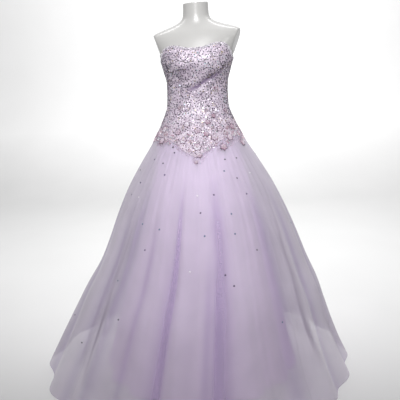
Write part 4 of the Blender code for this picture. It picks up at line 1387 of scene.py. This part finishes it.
def zip_tape():
    """Woven polyester tape, dyed to match."""
    tape = Finish("zip_tape", (0.52, 0.44, 0.58), 0.7)
    inputs = {"Vector": tape.place, "Scale": 600.0}
    weave = tape.node("ShaderNodeTexWave", inputs, "Fac", bands_direction="Z")
    tape.give(Base_Color=tape.bands(weave, [(0.2, (0.48, 0.40, 0.54)), (0.8, (0.56, 0.48, 0.62))]))
    tape.bump(weave, 0.4, 0.1 * MM)
    return tape.made


def zip_metal():
    """Cast zinc alloy, plated and a little rubbed."""
    zinc = Finish("zip_metal", (0.66, 0.63, 0.70), 0.28, Metallic=1.0)
    zinc.give(Roughness=zinc.spread(zinc.noise(400.0, 4.0), 0.18, 0.45))
    return zinc.made


def zip_top(angle):
    """The upper end of the zip."""
    return neck_edge(angle) - ZIP_TOP_DROP


def bevelled_copy(node, width):
    """A CAD piece's shape with its edges eased."""
    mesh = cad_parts[node].data.copy()
    mesh.name = node
    mesh.materials.clear()
    shape = bmesh.new()
    shape.from_mesh(mesh)
    bmesh.ops.remove_doubles(shape, verts=shape.verts, dist=0.00001)
    flat = {"angle_limit": math.radians(1), "verts": shape.verts, "edges": shape.edges}
    bmesh.ops.dissolve_limit(shape, **flat)
    limit = math.radians(30)
    sharp = [edge for edge in shape.edges if edge.is_manifold and edge.calc_face_angle() > limit]
    bmesh.ops.bevel(shape, geom=sharp, offset=width, segments=2, affect="EDGES", clamp_overlap=True)
    bmesh.ops.recalc_face_normals(shape, faces=shape.faces)
    shape.to_mesh(mesh)
    shape.free()
    mesh.shade_smooth()
    mesh.set_sharp_from_angle(angle=math.radians(40))
    return mesh


chain = Panel("zip_chain", 180, 180, 4)
tape_gaps = (-ZIP_WIDTH / 2,) * 2
tape_grid = cloth_grid(smooth_bodice, chain, TAPE_ROWS, zip_top, bodice_bottom, tape_gaps)
tape_outer = moved_out(smooth_bodice, *tape_grid, -ZIP_SINK)
tape_inner = moved_out(smooth_bodice, *tape_grid, -BODICE_WALL)
tape = link_object("zip_tape", shell_mesh("zip_tape", tape_outer, tape_inner), zip_tape())
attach(tape, BODY)
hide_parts("zip_chain")

tooth_height = np.arange(bodice_bottom(180.0) + TEETH_BOTTOM, zip_top(180.0) - TEETH_TOP, TOOTH_PITCH)
places, out = lifted(smooth_bodice, np.full_like(tooth_height, 180.0), tooth_height, 0.0)
places[:, 0] += np.where(np.arange(len(tooth_height)) % 2, TOOTH_STAGGER, -TOOTH_STAGGER)
metal = zip_metal()
tooth = "GeometryNodeMeshCube", {"Size": TOOTH_SIZE}
thread("zip_teeth", "zip", tooth, [(places, out, (1.0, 0.0, 0.0), 1.0)], metal, 31)
for node, body in (("zip_slider", BODY), ("zip_pull_tab", "pull_tab")):
    zip_piece = link_object(f"cast_{node}", bevelled_copy(node, CAST_EDGE), metal)
    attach(zip_piece, body)
    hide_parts(node)
